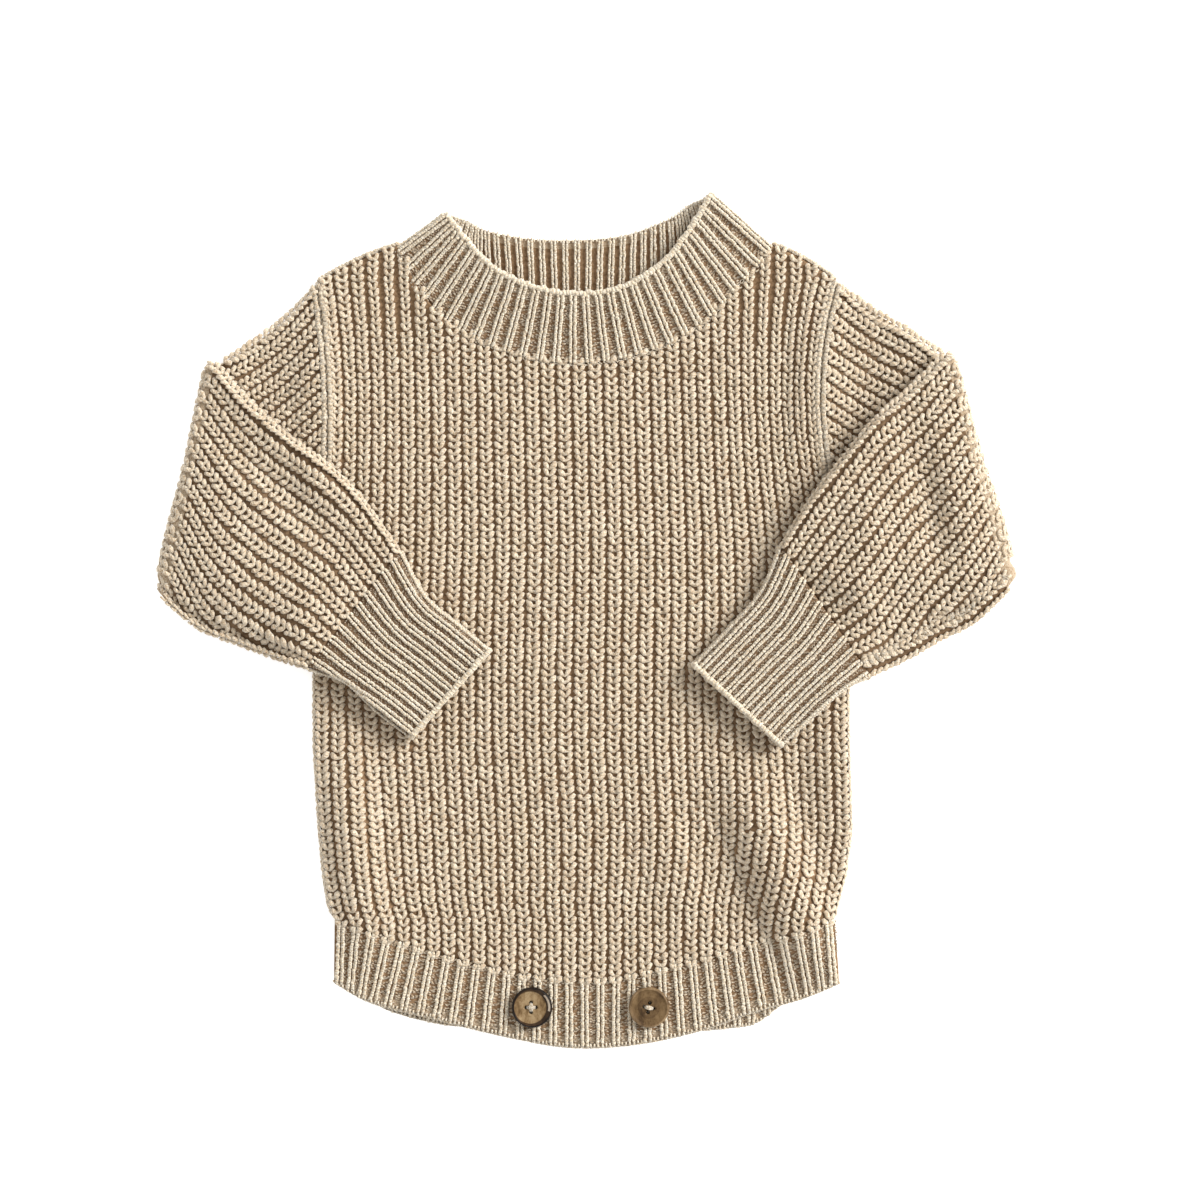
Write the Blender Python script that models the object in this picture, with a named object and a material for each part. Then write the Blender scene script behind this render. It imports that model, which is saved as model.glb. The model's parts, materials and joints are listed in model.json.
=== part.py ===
"""Baby romper in chunky rib knit, laid flat with both sleeves folded over the front.

Metres, +Z up.  The front lies on top and the neck points to +Y.  The origin is on the flat
underside of the back panel, on the garment's centre line.  Left and right are as seen from above.
Every size below is in millimetres.  Two pieces that meet keep SEAM_GAP between them.
"""
import math
from collections import namedtuple

import bmesh
import bpy

MM = 0.001

# --- Cloth -------------------------------------------------------------------------------------
SEAM_GAP = 0.3
PLAIN_WALL = 3.2            # knit pressed flat, as on the side that lies down
RIB_WALL = 2.3              # knit between two ribs
RIB_RISE = 1.2              # height of a rib over the knit between
BAND_RISE = 0.9             # the same on the finer ribs of the bands and cuffs
EDGE_RADIUS = 4.0           # rounding of a folded or side edge
EDGE_MIN = 0.7              # what is left of the wall at the very edge
EDGE_COLUMN = 1.2           # an extra column of corners this far from a panel's sides rounds them
EDGE_ROW = 1.5              # an extra row this far below a panel's top edge does the same there

BACK_TOP = PLAIN_WALL
FRONT_UNDER = BACK_TOP + SEAM_GAP
FRONT_TOP = FRONT_UNDER + RIB_WALL + RIB_RISE

# --- Body outline, seen from above -------------------------------------------------------------
SideRow = namedtuple("SideRow", "name y left right")
BODY_SIDES = (
    SideRow("hem seam", -148.0, -123.0, 123.0),
    SideRow("pinch over the hem", -140.0, -126.0, 124.5),
    SideRow("lower side", -125.0, -128.5, 128.5),
    SideRow("hip", -103.0, -130.5, 131.0),
    SideRow("waist", -64.0, -133.0, 129.5),
    SideRow("below the cuffs", -24.5, -133.5, 129.5),
    SideRow("below the underarm", 10.0, -132.5, 130.0),
    SideRow("underarm", 39.5, -130.5, 128.5),
)
UNDERARM_Y = BODY_SIDES[-1].y

Armhole = namedtuple("Armhole", "tip_x tip_y under_x bow")     # bow is how far it cuts into the body
ARMHOLE_LEFT = Armhole(-131.5, 167.0, -130.5, 5.4)
ARMHOLE_RIGHT = Armhole(123.5, 168.0, 128.5, -12.0)
ARMHOLE_PULL = 4            # the higher, the fewer ribs beside the armhole bend with it
SHOULDER_CROWN = 1.8        # how far the middle of each shoulder bows up from a straight line
SHOULDER_SQUARE = 0.85      # length square to the shoulder line for each length along Y
EDGE_SAMPLES = 60           # corners along a neck or hem seam that panels read their edge from
PLACE_ROUNDS = 4            # rounds in which a panel's x and y settle on each other

# --- Neckband: the seam and the finished edge, once round --------------------------------------
BandRow = namedtuple("BandRow", "name seam_x seam_y edge_x edge_y")
NECK_FRONT = (
    BandRow("left fold", -92.5, 185.0, -67.0, 201.0),
    BandRow("left collarbone", -88.0, 175.0, -63.5, 196.5),
    BandRow("left upper", -81.0, 162.0, -58.5, 190.0),
    BandRow("left middle", -69.0, 148.5, -50.0, 180.0),
    BandRow("left lower", -50.5, 137.5, -38.0, 171.0),
    BandRow("left of centre", -27.0, 130.0, -20.5, 164.5),
    BandRow("centre", -5.0, 127.5, -5.0, 162.5),
    BandRow("right of centre", 19.5, 130.0, 12.5, 164.0),
    BandRow("right lower", 42.0, 137.5, 28.0, 170.5),
    BandRow("right middle", 59.0, 148.5, 41.0, 181.0),
    BandRow("right upper", 73.5, 163.5, 50.0, 193.0),
    BandRow("right collarbone", 84.5, 175.5, 56.5, 203.0),
    BandRow("right fold", 92.0, 185.5, 61.0, 211.5),
)
NECK_BACK = (
    BandRow("right fold", 92.0, 185.5, 61.0, 211.5),
    BandRow("right shoulder", 79.5, 178.5, 57.5, 208.5),
    BandRow("right nape", 62.5, 172.0, 51.5, 206.0),
    BandRow("right of centre", 43.0, 164.5, 41.0, 199.0),
    BandRow("centre right", 15.0, 158.5, 16.0, 190.5),
    BandRow("centre left", -19.0, 158.0, -20.0, 189.0),
    BandRow("left of centre", -45.5, 160.5, -47.0, 193.0),
    BandRow("left nape", -67.5, 167.0, -58.0, 198.0),
    BandRow("left shoulder", -83.5, 176.5, -63.5, 199.5),
    BandRow("left fold", -92.5, 185.0, -67.0, 201.0),
)
NECK_RIBS_FRONT = 28
NECK_RIBS_BACK = 26
NECK_FOLD_STEPS = 4
NECK_FOLD_Z = FRONT_UNDER - SEAM_GAP / 2

# --- Hem bands ---------------------------------------------------------------------------------
HEM_FRONT = (
    BandRow("left side", -123.0, -148.0, -123.5, -179.0),
    BandRow("left leg, outer", -105.0, -154.5, -110.5, -187.0),
    BandRow("left leg, upper", -91.0, -159.5, -98.5, -191.5),
    BandRow("left leg", -71.5, -166.0, -77.0, -197.0),
    BandRow("left leg, inner", -51.5, -171.5, -55.5, -202.5),
    BandRow("crotch, left button", -32.0, -176.0, -33.5, -207.5),
    BandRow("crotch, left of centre", -10.0, -178.0, -10.0, -211.5),
    BandRow("crotch, right of centre", 12.5, -178.0, 12.5, -211.5),
    BandRow("crotch, right button", 34.5, -173.5, 35.5, -208.5),
    BandRow("right leg, inner", 56.5, -168.5, 60.0, -202.5),
    BandRow("right leg", 79.0, -161.0, 84.5, -194.0),
    BandRow("right leg, outer", 101.0, -155.5, 107.5, -187.5),
    BandRow("right side", 123.0, -148.0, 125.5, -180.0),
)
HEM_BACK = (
    BandRow("left side", -123.0, -148.0, -122.5, -179.0),
    BandRow("left leg, outer", -105.0, -154.5, -109.5, -187.0),
    BandRow("left leg, drop", -91.0, -159.5, -95.0, -194.5),
    BandRow("left leg", -71.5, -166.0, -71.5, -200.5),
    BandRow("left leg, inner", -51.5, -171.5, -51.5, -202.5),
    BandRow("crotch, left", -27.0, -176.5, -27.0, -207.5),
    BandRow("crotch, centre", 0.0, -178.5, 0.0, -210.5),
    BandRow("crotch, right", 27.0, -175.0, 27.0, -209.0),
    BandRow("right leg, inner", 51.5, -169.5, 51.5, -204.5),
    BandRow("right leg, drop", 71.5, -163.5, 71.5, -202.5),
    BandRow("right leg, corner", 84.5, -158.5, 84.5, -200.0),
    BandRow("right leg, outer", 98.5, -156.0, 99.0, -190.0),
    BandRow("right side", 123.0, -148.0, 124.5, -179.0),
)
HEM_RIBS = 33
HEM_PINCH = 3.0             # the hem band's sides draw in by this between seam and edge
HEM_PINCH_POWER = 7         # the higher, the fewer ribs at the sides draw in with them

# --- Body ribs and soft folds ------------------------------------------------------------------
RIBS_LEFT_SHOULDER = 4.5    # ribs that end on each stretch of the front's top edge
RIBS_NECK = 24.0
RIBS_RIGHT_SHOULDER = 4.5
PANEL_ROWS_BELOW = 9        # rows of corners below and above the underarm
PANEL_ROWS_ABOVE = 9
LOFT_RISE = 2.0             # the front's middle stands this far off the back
LOFT_HALF_WIDTH = 128.0
LOFT_CENTRE_Y = -20.0
LOFT_HALF_LENGTH = 145.0

FoldRow = namedtuple("FoldRow", "name x0 y0 x1 y1 half_width rise")
FOLD_FADE = 0.75            # a soft fold fades out over this share of its length each way from its middle
BODY_FOLDS = (
    FoldRow("lower right ridge", 62.0, -75.0, 72.0, -138.0, 15.0, 2.0),
    FoldRow("lower right trough", 84.0, -80.0, 92.0, -130.0, 12.0, -0.8),
    FoldRow("lower left ridge", -88.0, -80.0, -96.0, -125.0, 14.0, 1.0),
)

# --- Sleeves: sections from the armhole to the cuff's end --------------------------------------
# top and low are a section's two ends, seen from above; bow moves its middle across itself;
# turn is 0 where the sleeve lies down, 180 where it lies folded back over the front;
# loft is how far the showing side swells in the middle.
SleeveRow = namedtuple("SleeveRow", "name top_x top_y low_x low_y bow turn loft")
SLEEVE_LEFT = (
    SleeveRow("armhole", -131.5, 167.0, -130.5, 39.5, 5.4, 0, 0.0),
    SleeveRow("upper arm", -148.0, 149.5, -148.5, 29.5, 1.0, 0, 1.0),
    SleeveRow("over the elbow", -165.0, 136.5, -174.0, 19.0, 0.0, 0, 0.8),
    SleeveRow("fold, lying", -181.0, 127.0, -205.0, 6.5, 0.0, 0, 0.0),
    SleeveRow("fold, over", -181.0, 127.0, -205.0, 6.5, 0.0, 180, 0.5),
    SleeveRow("below the fold", -165.0, 109.0, -188.5, -6.5, 0.0, 180, 2.2),
    SleeveRow("forearm", -145.5, 92.0, -171.0, -13.0, 0.0, 180, 3.0),
    SleeveRow("mid forearm", -125.5, 77.5, -156.0, -18.5, 0.0, 180, 3.0),
    SleeveRow("lower forearm", -108.5, 60.5, -145.5, -22.0, 0.0, 180, 2.5),
    SleeveRow("cuff seam", -90.0, 34.5, -136.5, -24.5, 0.0, 180, 1.5),
)
CUFF_LEFT = (
    SleeveRow("cuff seam", -90.0, 34.5, -136.5, -24.5, 0.0, 180, 1.5),
    SleeveRow("upper cuff", -77.5, 12.0, -118.0, -31.0, 0.0, 180, 1.2),
    SleeveRow("lower cuff", -62.5, -1.0, -102.0, -45.5, 0.0, 180, 1.0),
    SleeveRow("cuff end", -46.0, -14.5, -85.5, -58.0, 0.0, 180, 1.0),
)
SLEEVE_RIGHT = (
    SleeveRow("armhole", 123.5, 168.0, 128.5, 39.5, -12.0, 0, 0.0),
    SleeveRow("upper arm", 140.5, 154.5, 150.0, 31.5, -3.0, 0, 1.0),
    SleeveRow("over the elbow", 159.0, 143.5, 177.5, 22.0, 0.0, 0, 0.8),
    SleeveRow("fold, lying", 176.0, 131.5, 207.0, 12.5, 0.0, 0, 0.0),
    SleeveRow("fold, over", 176.0, 131.5, 207.0, 12.5, 0.0, 180, 0.5),
    SleeveRow("below the fold", 159.0, 114.5, 190.5, -3.0, 0.0, 180, 2.2),
    SleeveRow("forearm", 141.5, 99.5, 175.5, -10.5, 0.0, 180, 3.0),
    SleeveRow("mid forearm", 124.5, 79.0, 163.0, -18.0, 0.0, 180, 3.0),
    SleeveRow("lower forearm", 109.0, 59.0, 152.0, -23.5, 0.0, 180, 2.5),
    SleeveRow("cuff seam", 95.5, 37.0, 140.5, -28.5, 0.0, 180, 1.5),
)
CUFF_RIGHT = (
    SleeveRow("cuff seam", 95.5, 37.0, 140.5, -28.5, 0.0, 180, 1.5),
    SleeveRow("upper cuff", 86.0, 15.0, 126.5, -35.0, 0.0, 180, 1.2),
    SleeveRow("lower cuff", 70.5, -3.0, 112.0, -48.0, 0.0, 180, 1.0),
    SleeveRow("cuff end", 52.5, -21.5, 96.5, -62.0, 0.0, 180, 1.0),
)
# ribs is their number all round; half_thick is half of the flat tube's thickness;
# the steps are the stretches between sections where the tube lies down and where it lies folded over.
Tube = namedtuple("Tube", "ribs half_thick rise lying_steps over_steps")
SLEEVE_TUBE = Tube(30, 3.5, RIB_RISE, 6, 9)
CUFF_TUBE = Tube(22, 3.3, BAND_RISE, 0, 4)
LYING_TURN = 60             # up to this turn a sleeve's lying face shows, past it the face folded over
HOLLOW_HALF = 0.15          # half of the space between the tube's two walls where it is flattest
TUBE_WALL_AT_EDGE = 3.2
UNDER_SEAM_RIB_LEFT = 16    # the groove of the underarm seam lies before this rib, on the sleeve's back
UNDER_SEAM_RIB_RIGHT = 17
UNDER_SEAM_DEPTH = 0.8      # how much deeper than the others that groove is
FOLD_AXIS_Z = 2 * SLEEVE_TUBE.half_thick + SEAM_GAP / 2
FOLD_RADIUS = SLEEVE_TUBE.half_thick + SEAM_GAP / 2      # from the axis to the middle of the tube
FOLD_SQUEEZE = 0.12         # share of its thickness that the tube loses round the fold
FOLD_STEPS = 5
FOLD_CORNER_PULL = 5.0      # the fold's low corner is rounded off by this
FOLD_SWELL = 0.5            # share by which the fold is softer and rounder near its low corner
FOLD_SWELL_AT = 0.82        # where along the fold, from its top to its low end
FOLD_SWELL_REACH = 0.42
INNER_SPOTS = 8             # corners across each plain inner face
SAG_DEPTH = 4.5             # the folded sleeve sinks this far where nothing lies below it
SAG_REACH = 26.0

# --- Buttons -----------------------------------------------------------------------------------
ButtonRow = namedtuple("ButtonRow", "name x y")
BUTTONS = (
    ButtonRow("button_left", -26.0, -190.5),
    ButtonRow("button_right", 31.5, -190.5),
)
BUTTON_RADIUS = 10.0
BUTTON_THICK = 3.4
BUTTON_DISH = 1.2           # depth of the dished middle below the rim
BUTTON_RIM = 1.9            # width of the rim
BUTTON_BEVEL = 0.7
BUTTON_HOLE_RADIUS = 0.95
BUTTON_HOLE_OFFSET = 1.9    # from the middle to each hole, along X and along Y
BUTTON_STEPS = 28
BUTTON_HOLE_SIDES = 10

KNIT_COLOUR = (0.66, 0.55, 0.40, 1.0)
BUTTON_COLOUR = (0.16, 0.09, 0.05, 1.0)


# --- Curves through table rows -----------------------------------------------------------------
def catmull_rom(p0, p1, p2, p3, t):
    """Point of a smooth curve between p1 and p2."""
    return 0.5 * (2 * p1 + (p2 - p0) * t + (2 * p0 - 5 * p1 + 4 * p2 - p3) * t ** 2
                  + (3 * p1 - p0 - 3 * p2 + p3) * t ** 3)


def smooth_row(rows, position):
    """The row at a position between the table's rows, where row n is at n; numbers only."""
    last = len(rows) - 1
    index = min(int(position), last - 1)
    t = position - index
    near = [rows[min(max(index + k, 0), last)] for k in (-1, 0, 1, 2)]
    return [catmull_rom(*values, t) for values in zip(*[row[1:] for row in near])]


def evenly(rows, count, steps_per_row=24):
    """count + 1 rows along a table, the same distance apart along its first two columns."""
    last = len(rows) - 1
    fine = [smooth_row(rows, k / steps_per_row) for k in range(last * steps_per_row + 1)]
    walked = [0.0]
    for before, after in zip(fine, fine[1:]):
        walked.append(walked[-1] + math.hypot(after[0] - before[0], after[1] - before[1]))
    found, at = [], 0
    for k in range(count + 1):
        target = walked[-1] * k / count
        while at < len(walked) - 2 and walked[at + 1] < target:
            at += 1
        share = (target - walked[at]) / (walked[at + 1] - walked[at])
        share = min(max(share, 0.0), 1.0)
        found.append([a + (b - a) * share for a, b in zip(fine[at], fine[at + 1])])
    return found


def height_at(curve, x):
    """y of a curve of (x, y) corners that runs from left to right."""
    for (x0, y0), (x1, y1) in zip(curve, curve[1:]):
        if x <= x1:
            break
    return y0 + (y1 - y0) * min(max((x - x0) / (x1 - x0), 0.0), 1.0)


def bump(t):
    """1 at 0, falling smoothly to 0 at -1 and 1."""
    return (1.0 - t * t) ** 2 if abs(t) < 1.0 else 0.0


def ramp(t):
    """0 up to 0, rising smoothly to 1 at 1."""
    t = min(max(t, 0.0), 1.0)
    return t * t * (3.0 - 2.0 * t)


# --- Meshes ------------------------------------------------------------------------------------
def material(name, colour, roughness):
    made = bpy.data.materials.new(name)
    made.use_nodes = True
    shader = made.node_tree.nodes["Principled BSDF"]
    shader.inputs["Base Color"].default_value = colour
    shader.inputs["Roughness"].default_value = roughness
    return made


def add_object(name, mesh, finish):
    bmesh.ops.recalc_face_normals(mesh, faces=mesh.faces)
    data = bpy.data.meshes.new(name)
    mesh.to_mesh(data)
    mesh.free()
    data.materials.append(finish)
    made = bpy.data.objects.new(name, data)
    bpy.context.collection.objects.link(made)
    return made


Row = namedtuple("Row", "corners spots")      # spots say how far along the row each corner lies


def add_row(mesh, points, spots=None):
    corners = [mesh.verts.new((x * MM, y * MM, z * MM)) for x, y, z in points]
    if spots is None:
        spots = [k / (len(corners) - 1) for k in range(len(corners))]
    return Row(corners, spots)


def closed(row):
    """The same row of a ring, its first corner again at its end."""
    count = len(row.corners)
    return Row(row.corners + row.corners[:1], [k / count for k in range(count + 1)])


def stitch(mesh, a, b):
    """Triangles between two rows that run side by side and may differ in how many corners they have."""
    i = j = 0
    while i < len(a.corners) - 1 or j < len(b.corners) - 1:
        next_a = a.spots[i + 1] if i < len(a.corners) - 1 else math.inf
        next_b = b.spots[j + 1] if j < len(b.corners) - 1 else math.inf
        if next_a <= next_b:
            mesh.faces.new((a.corners[i], a.corners[i + 1], b.corners[j]))
            i += 1
        else:
            mesh.faces.new((a.corners[i], b.corners[j + 1], b.corners[j]))
            j += 1


def stitch_all(mesh, rows):
    for before, after in zip(rows, rows[1:]):
        stitch(mesh, before, after)


def side(rows, end):
    return Row([row.corners[end] for row in rows], list(range(len(rows))))


def close_sheet(mesh, outer, inner):
    """The wall between an outer and an inner sheet of rows, closed along its four edges."""
    stitch_all(mesh, outer)
    stitch_all(mesh, inner)
    for end in (0, -1):
        stitch(mesh, outer[end], inner[end])
        stitch(mesh, side(outer, end), side(inner, end))


def close_tube(mesh, outer, inner):
    """The wall between the outer and the inner rings of a tube, closed at its two ends."""
    outer = [closed(ring) for ring in outer]
    inner = [closed(ring) for ring in inner]
    stitch_all(mesh, outer)
    stitch_all(mesh, inner)
    for end in (0, -1):
        stitch(mesh, outer[end], inner[end])


# --- Shared outlines ---------------------------------------------------------------------------
def armhole_share(y, armhole):
    return min(max((y - UNDERARM_Y) / (armhole.tip_y - UNDERARM_Y), 0.0), 1.0)


def side_x(y, which):
    """x of the body's left or right side; above the underarm it is the armhole."""
    armhole = ARMHOLE_LEFT if which == "left" else ARMHOLE_RIGHT
    t = armhole_share(y, armhole)
    return straight_side_x(y, which) + armhole.bow * 4 * t * (1 - t)


def straight_side_x(y, which):
    """The same without the armhole's cut into the body."""
    if y > UNDERARM_Y:
        armhole = ARMHOLE_LEFT if which == "left" else ARMHOLE_RIGHT
        return armhole.under_x + (armhole.tip_x - armhole.under_x) * armhole_share(y, armhole)
    for below, above in zip(BODY_SIDES, BODY_SIDES[1:]):
        if y <= above.y:
            break
    t = min(max((y - below.y) / (above.y - below.y), 0.0), 1.0)
    return getattr(below, which) + (getattr(above, which) - getattr(below, which)) * t


def top_edge(neck_rows):
    """The body's top edge from left to right: shoulder, neck seam, shoulder."""
    neck = [(row[0], row[1]) for row in evenly(neck_rows, EDGE_SAMPLES)]
    if neck[0][0] > neck[-1][0]:
        neck.reverse()
    shifted = []
    for k, (x, y) in enumerate(neck):
        (x0, y0), (x1, y1) = neck[max(k - 1, 0)], neck[min(k + 1, len(neck) - 1)]
        along = math.hypot(x1 - x0, y1 - y0)
        shifted.append((x + SEAM_GAP * (y1 - y0) / along, y - SEAM_GAP * (x1 - x0) / along))
    left = shoulder((ARMHOLE_LEFT.tip_x, ARMHOLE_LEFT.tip_y), shifted[0])
    right = shoulder(shifted[-1], (ARMHOLE_RIGHT.tip_x, ARMHOLE_RIGHT.tip_y))
    return left + shifted + right


def shoulder(start, end, steps=6):
    """A shoulder line's corners between its two ends, bowed up, without the end on the neck."""
    line = []
    for k in range(steps + 1):
        t = k / steps
        line.append((start[0] + (end[0] - start[0]) * t,
                     start[1] + (end[1] - start[1]) * t + SHOULDER_CROWN * 4 * t * (1 - t)))
    return line[:-1] if start[0] < 0 else line[1:]


def hem_edge(hem_rows):
    return [(row[0], row[1] + SEAM_GAP) for row in evenly(hem_rows, EDGE_SAMPLES)]


def body_lift(x, y):
    """How far the front stands off the back there, by its loft and its soft folds."""
    lift = LOFT_RISE * bump(x / LOFT_HALF_WIDTH) * bump((y - LOFT_CENTRE_Y) / LOFT_HALF_LENGTH)
    for fold in BODY_FOLDS:
        along_x, along_y = fold.x1 - fold.x0, fold.y1 - fold.y0
        length = math.hypot(along_x, along_y)
        t = ((x - fold.x0) * along_x + (y - fold.y0) * along_y) / length ** 2
        across = ((x - fold.x0) * along_y - (y - fold.y0) * along_x) / length
        lift += fold.rise * bump(across / fold.half_width) * bump((t - 0.5) / FOLD_FADE)
    return max(lift, 0.0)


def edge_rise(distance):
    """Share of the full thickness at a distance from a rounded edge."""
    t = min(max(distance / EDGE_RADIUS, 0.0), 1.0)
    return math.sqrt(1.0 - (1.0 - t) ** 2)


# --- Body panels -------------------------------------------------------------------------------
def panel_spots(ribs_per_stretch, per_rib):
    """Where the columns of a panel lie, from 0 at the left to 1 at the right, and which are crests."""
    neck_left, neck_right = NECK_FRONT[0].seam_x, NECK_FRONT[-1].seam_x
    width = ARMHOLE_RIGHT.tip_x - ARMHOLE_LEFT.tip_x
    marks = [0.0, (neck_left - ARMHOLE_LEFT.tip_x) / width, (neck_right - ARMHOLE_LEFT.tip_x) / width, 1.0]
    spots = [0.0]
    for ribs, start, end in zip(ribs_per_stretch, marks, marks[1:]):
        count = round(ribs * per_rib)
        spots += [start + (end - start) * (k + 1) / count for k in range(count)]
    crests = [k % 2 == 1 for k in range(len(spots))]
    rounding = EDGE_COLUMN / width
    spots[1:1] = [rounding]
    spots[-1:-1] = [1.0 - rounding]
    crests[1:1] = [False]
    crests[-1:-1] = [False]
    return spots, crests


def panel_levels():
    """Shares of the panel's height at which its rows of corners lie, the underarm among them."""
    underarm = (UNDERARM_Y - HEM_FRONT[0].seam_y) / (ARMHOLE_LEFT.tip_y - HEM_FRONT[0].seam_y)
    levels = [underarm * k / PANEL_ROWS_BELOW for k in range(PANEL_ROWS_BELOW)]
    levels += [underarm + (1.0 - underarm) * k / PANEL_ROWS_ABOVE for k in range(PANEL_ROWS_ABOVE + 1)]
    levels[-1:-1] = [1.0 - EDGE_ROW / (ARMHOLE_LEFT.tip_y - HEM_FRONT[0].seam_y)]
    return levels


def panel_point(spot, level, top, bottom):
    """A place on a panel and its distance to the nearest rounded edge."""
    x = ARMHOLE_LEFT.tip_x + (ARMHOLE_RIGHT.tip_x - ARMHOLE_LEFT.tip_x) * spot
    for _ in range(PLACE_ROUNDS):
        upper = height_at(top, x) if level > 0.0 else 0.0
        lower = height_at(bottom, x)
        y = lower + (upper - lower) * level
        x = straight_side_x(y, "left") + (straight_side_x(y, "right") - straight_side_x(y, "left")) * spot
        pulled = "left" if spot < 0.5 else "right"
        x += (side_x(y, pulled) - straight_side_x(y, pulled)) * abs(2 * spot - 1) ** ARMHOLE_PULL
    distance = EDGE_RADIUS
    if y < UNDERARM_Y - 1.0:
        distance = min(x - side_x(y, "left"), side_x(y, "right") - x)
    on_shoulder = not NECK_FRONT[0].seam_x < x < NECK_FRONT[-1].seam_x
    if on_shoulder:
        distance = min(distance, (upper - y) * SHOULDER_SQUARE)
    return x, y, distance


def front_panel(finish):
    """The front: ribs raised on top, plain below, standing a little off the back."""
    mesh = bmesh.new()
    top, bottom = top_edge(NECK_FRONT), hem_edge(HEM_FRONT)
    spots, crests = panel_spots((RIBS_LEFT_SHOULDER, RIBS_NECK, RIBS_RIGHT_SHOULDER), 2)
    plain = [k for k in range(len(spots)) if k % 4 == 0] + [len(spots) - 1]
    outer, inner = [], []
    levels = panel_levels()
    for level in levels:
        over, under = [], []
        for spot, crest in zip(spots, crests):
            x, y, distance = panel_point(spot, level, top, bottom)
            base = FRONT_UNDER + body_lift(x, y)
            full = RIB_WALL + (RIB_RISE if crest else 0.0)
            over.append((x, y, base + EDGE_MIN + (full - EDGE_MIN) * edge_rise(distance)))
            under.append((x, y, base))
        outer.append(add_row(mesh, over, spots))
        if 0.0 < level < 1.0:
            inner.append(add_row(mesh, [under[k] for k in plain], [spots[k] for k in plain]))
        else:
            inner.append(add_row(mesh, under, spots))
    close_sheet(mesh, outer, inner)
    return add_object("front_panel", mesh, finish)


def back_panel(finish):
    """The back: flat on the surface and flat where the front lies on it."""
    mesh = bmesh.new()
    top, bottom = top_edge(NECK_BACK), hem_edge(HEM_BACK)
    spots, _ = panel_spots((RIBS_LEFT_SHOULDER, RIBS_NECK, RIBS_RIGHT_SHOULDER), 1)
    outer, inner = [], []
    for level in panel_levels():
        over, under = [], []
        for spot in spots:
            x, y, distance = panel_point(spot, level, top, bottom)
            thick = EDGE_MIN + (PLAIN_WALL - EDGE_MIN) * edge_rise(distance)
            over.append((x, y, BACK_TOP))
            under.append((x, y, BACK_TOP - thick))
        outer.append(add_row(mesh, over, spots))
        inner.append(add_row(mesh, under, spots))
    close_sheet(mesh, outer, inner)
    return add_object("back_panel", mesh, finish)


# --- Hem bands ---------------------------------------------------------------------------------
BAND_EDGE_LEVEL = 0.94                    # past this a band's finished edge is rounded
BAND_LEVELS = (0.0, 0.5, BAND_EDGE_LEVEL, 1.0)       # from the seam to the finished edge


def hem_band(name, table, under, plain_side_down, finish):
    """A ribbed band from its seam to its rounded edge, its plain side given its own height."""
    mesh = bmesh.new()
    rows = evenly(table, HEM_RIBS * 2)
    outer, inner = [], []
    for level in BAND_LEVELS:
        over, plain = [], []
        for k, (seam_x, seam_y, edge_x, edge_y) in enumerate(rows):
            spot = k / (len(rows) - 1)
            inward = 1 - 2 * spot
            pinch = HEM_PINCH * inward * abs(inward) ** HEM_PINCH_POWER * 4 * level * (1 - level)
            x = seam_x + (edge_x - seam_x) * level + pinch
            y = seam_y + (edge_y - seam_y) * level
            distance = min(spot, 1 - spot) * (rows[-1][0] - rows[0][0])
            if level > BAND_EDGE_LEVEL:
                distance = 0.0
            full = PLAIN_WALL - BAND_RISE + (BAND_RISE if k % 2 == 1 else 0.0)
            base = under + (body_lift(x, y) if plain_side_down else 0.0)
            over.append((x, y, base + EDGE_MIN + (full - EDGE_MIN) * edge_rise(distance)))
            plain.append((x, y, base))
        outer.append(add_row(mesh, over))
        inner.append(add_row(mesh, plain))
    close_sheet(mesh, outer, inner)
    return add_object(name, mesh, finish)


# --- Neckband ----------------------------------------------------------------------------------
def neck_section(seam, edge, outward, turn, outer_radius, inner_radius):
    """A closed loop round the band's wall: its outer face from seam to edge, its inner face back."""
    middle = (outer_radius + inner_radius) / 2
    spots = ((0.0, outer_radius), (0.5, outer_radius), (BAND_EDGE_LEVEL, outer_radius), (1.0, middle),
             (BAND_EDGE_LEVEL, inner_radius), (0.0, inner_radius))
    loop = []
    for share, radius in spots:
        x = seam[0] + (edge[0] - seam[0]) * share + outward[0] * radius * math.sin(turn)
        y = seam[1] + (edge[1] - seam[1]) * share + outward[1] * radius * math.sin(turn)
        loop.append((x, y, NECK_FOLD_Z + radius * math.cos(turn)))
    return loop


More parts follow.
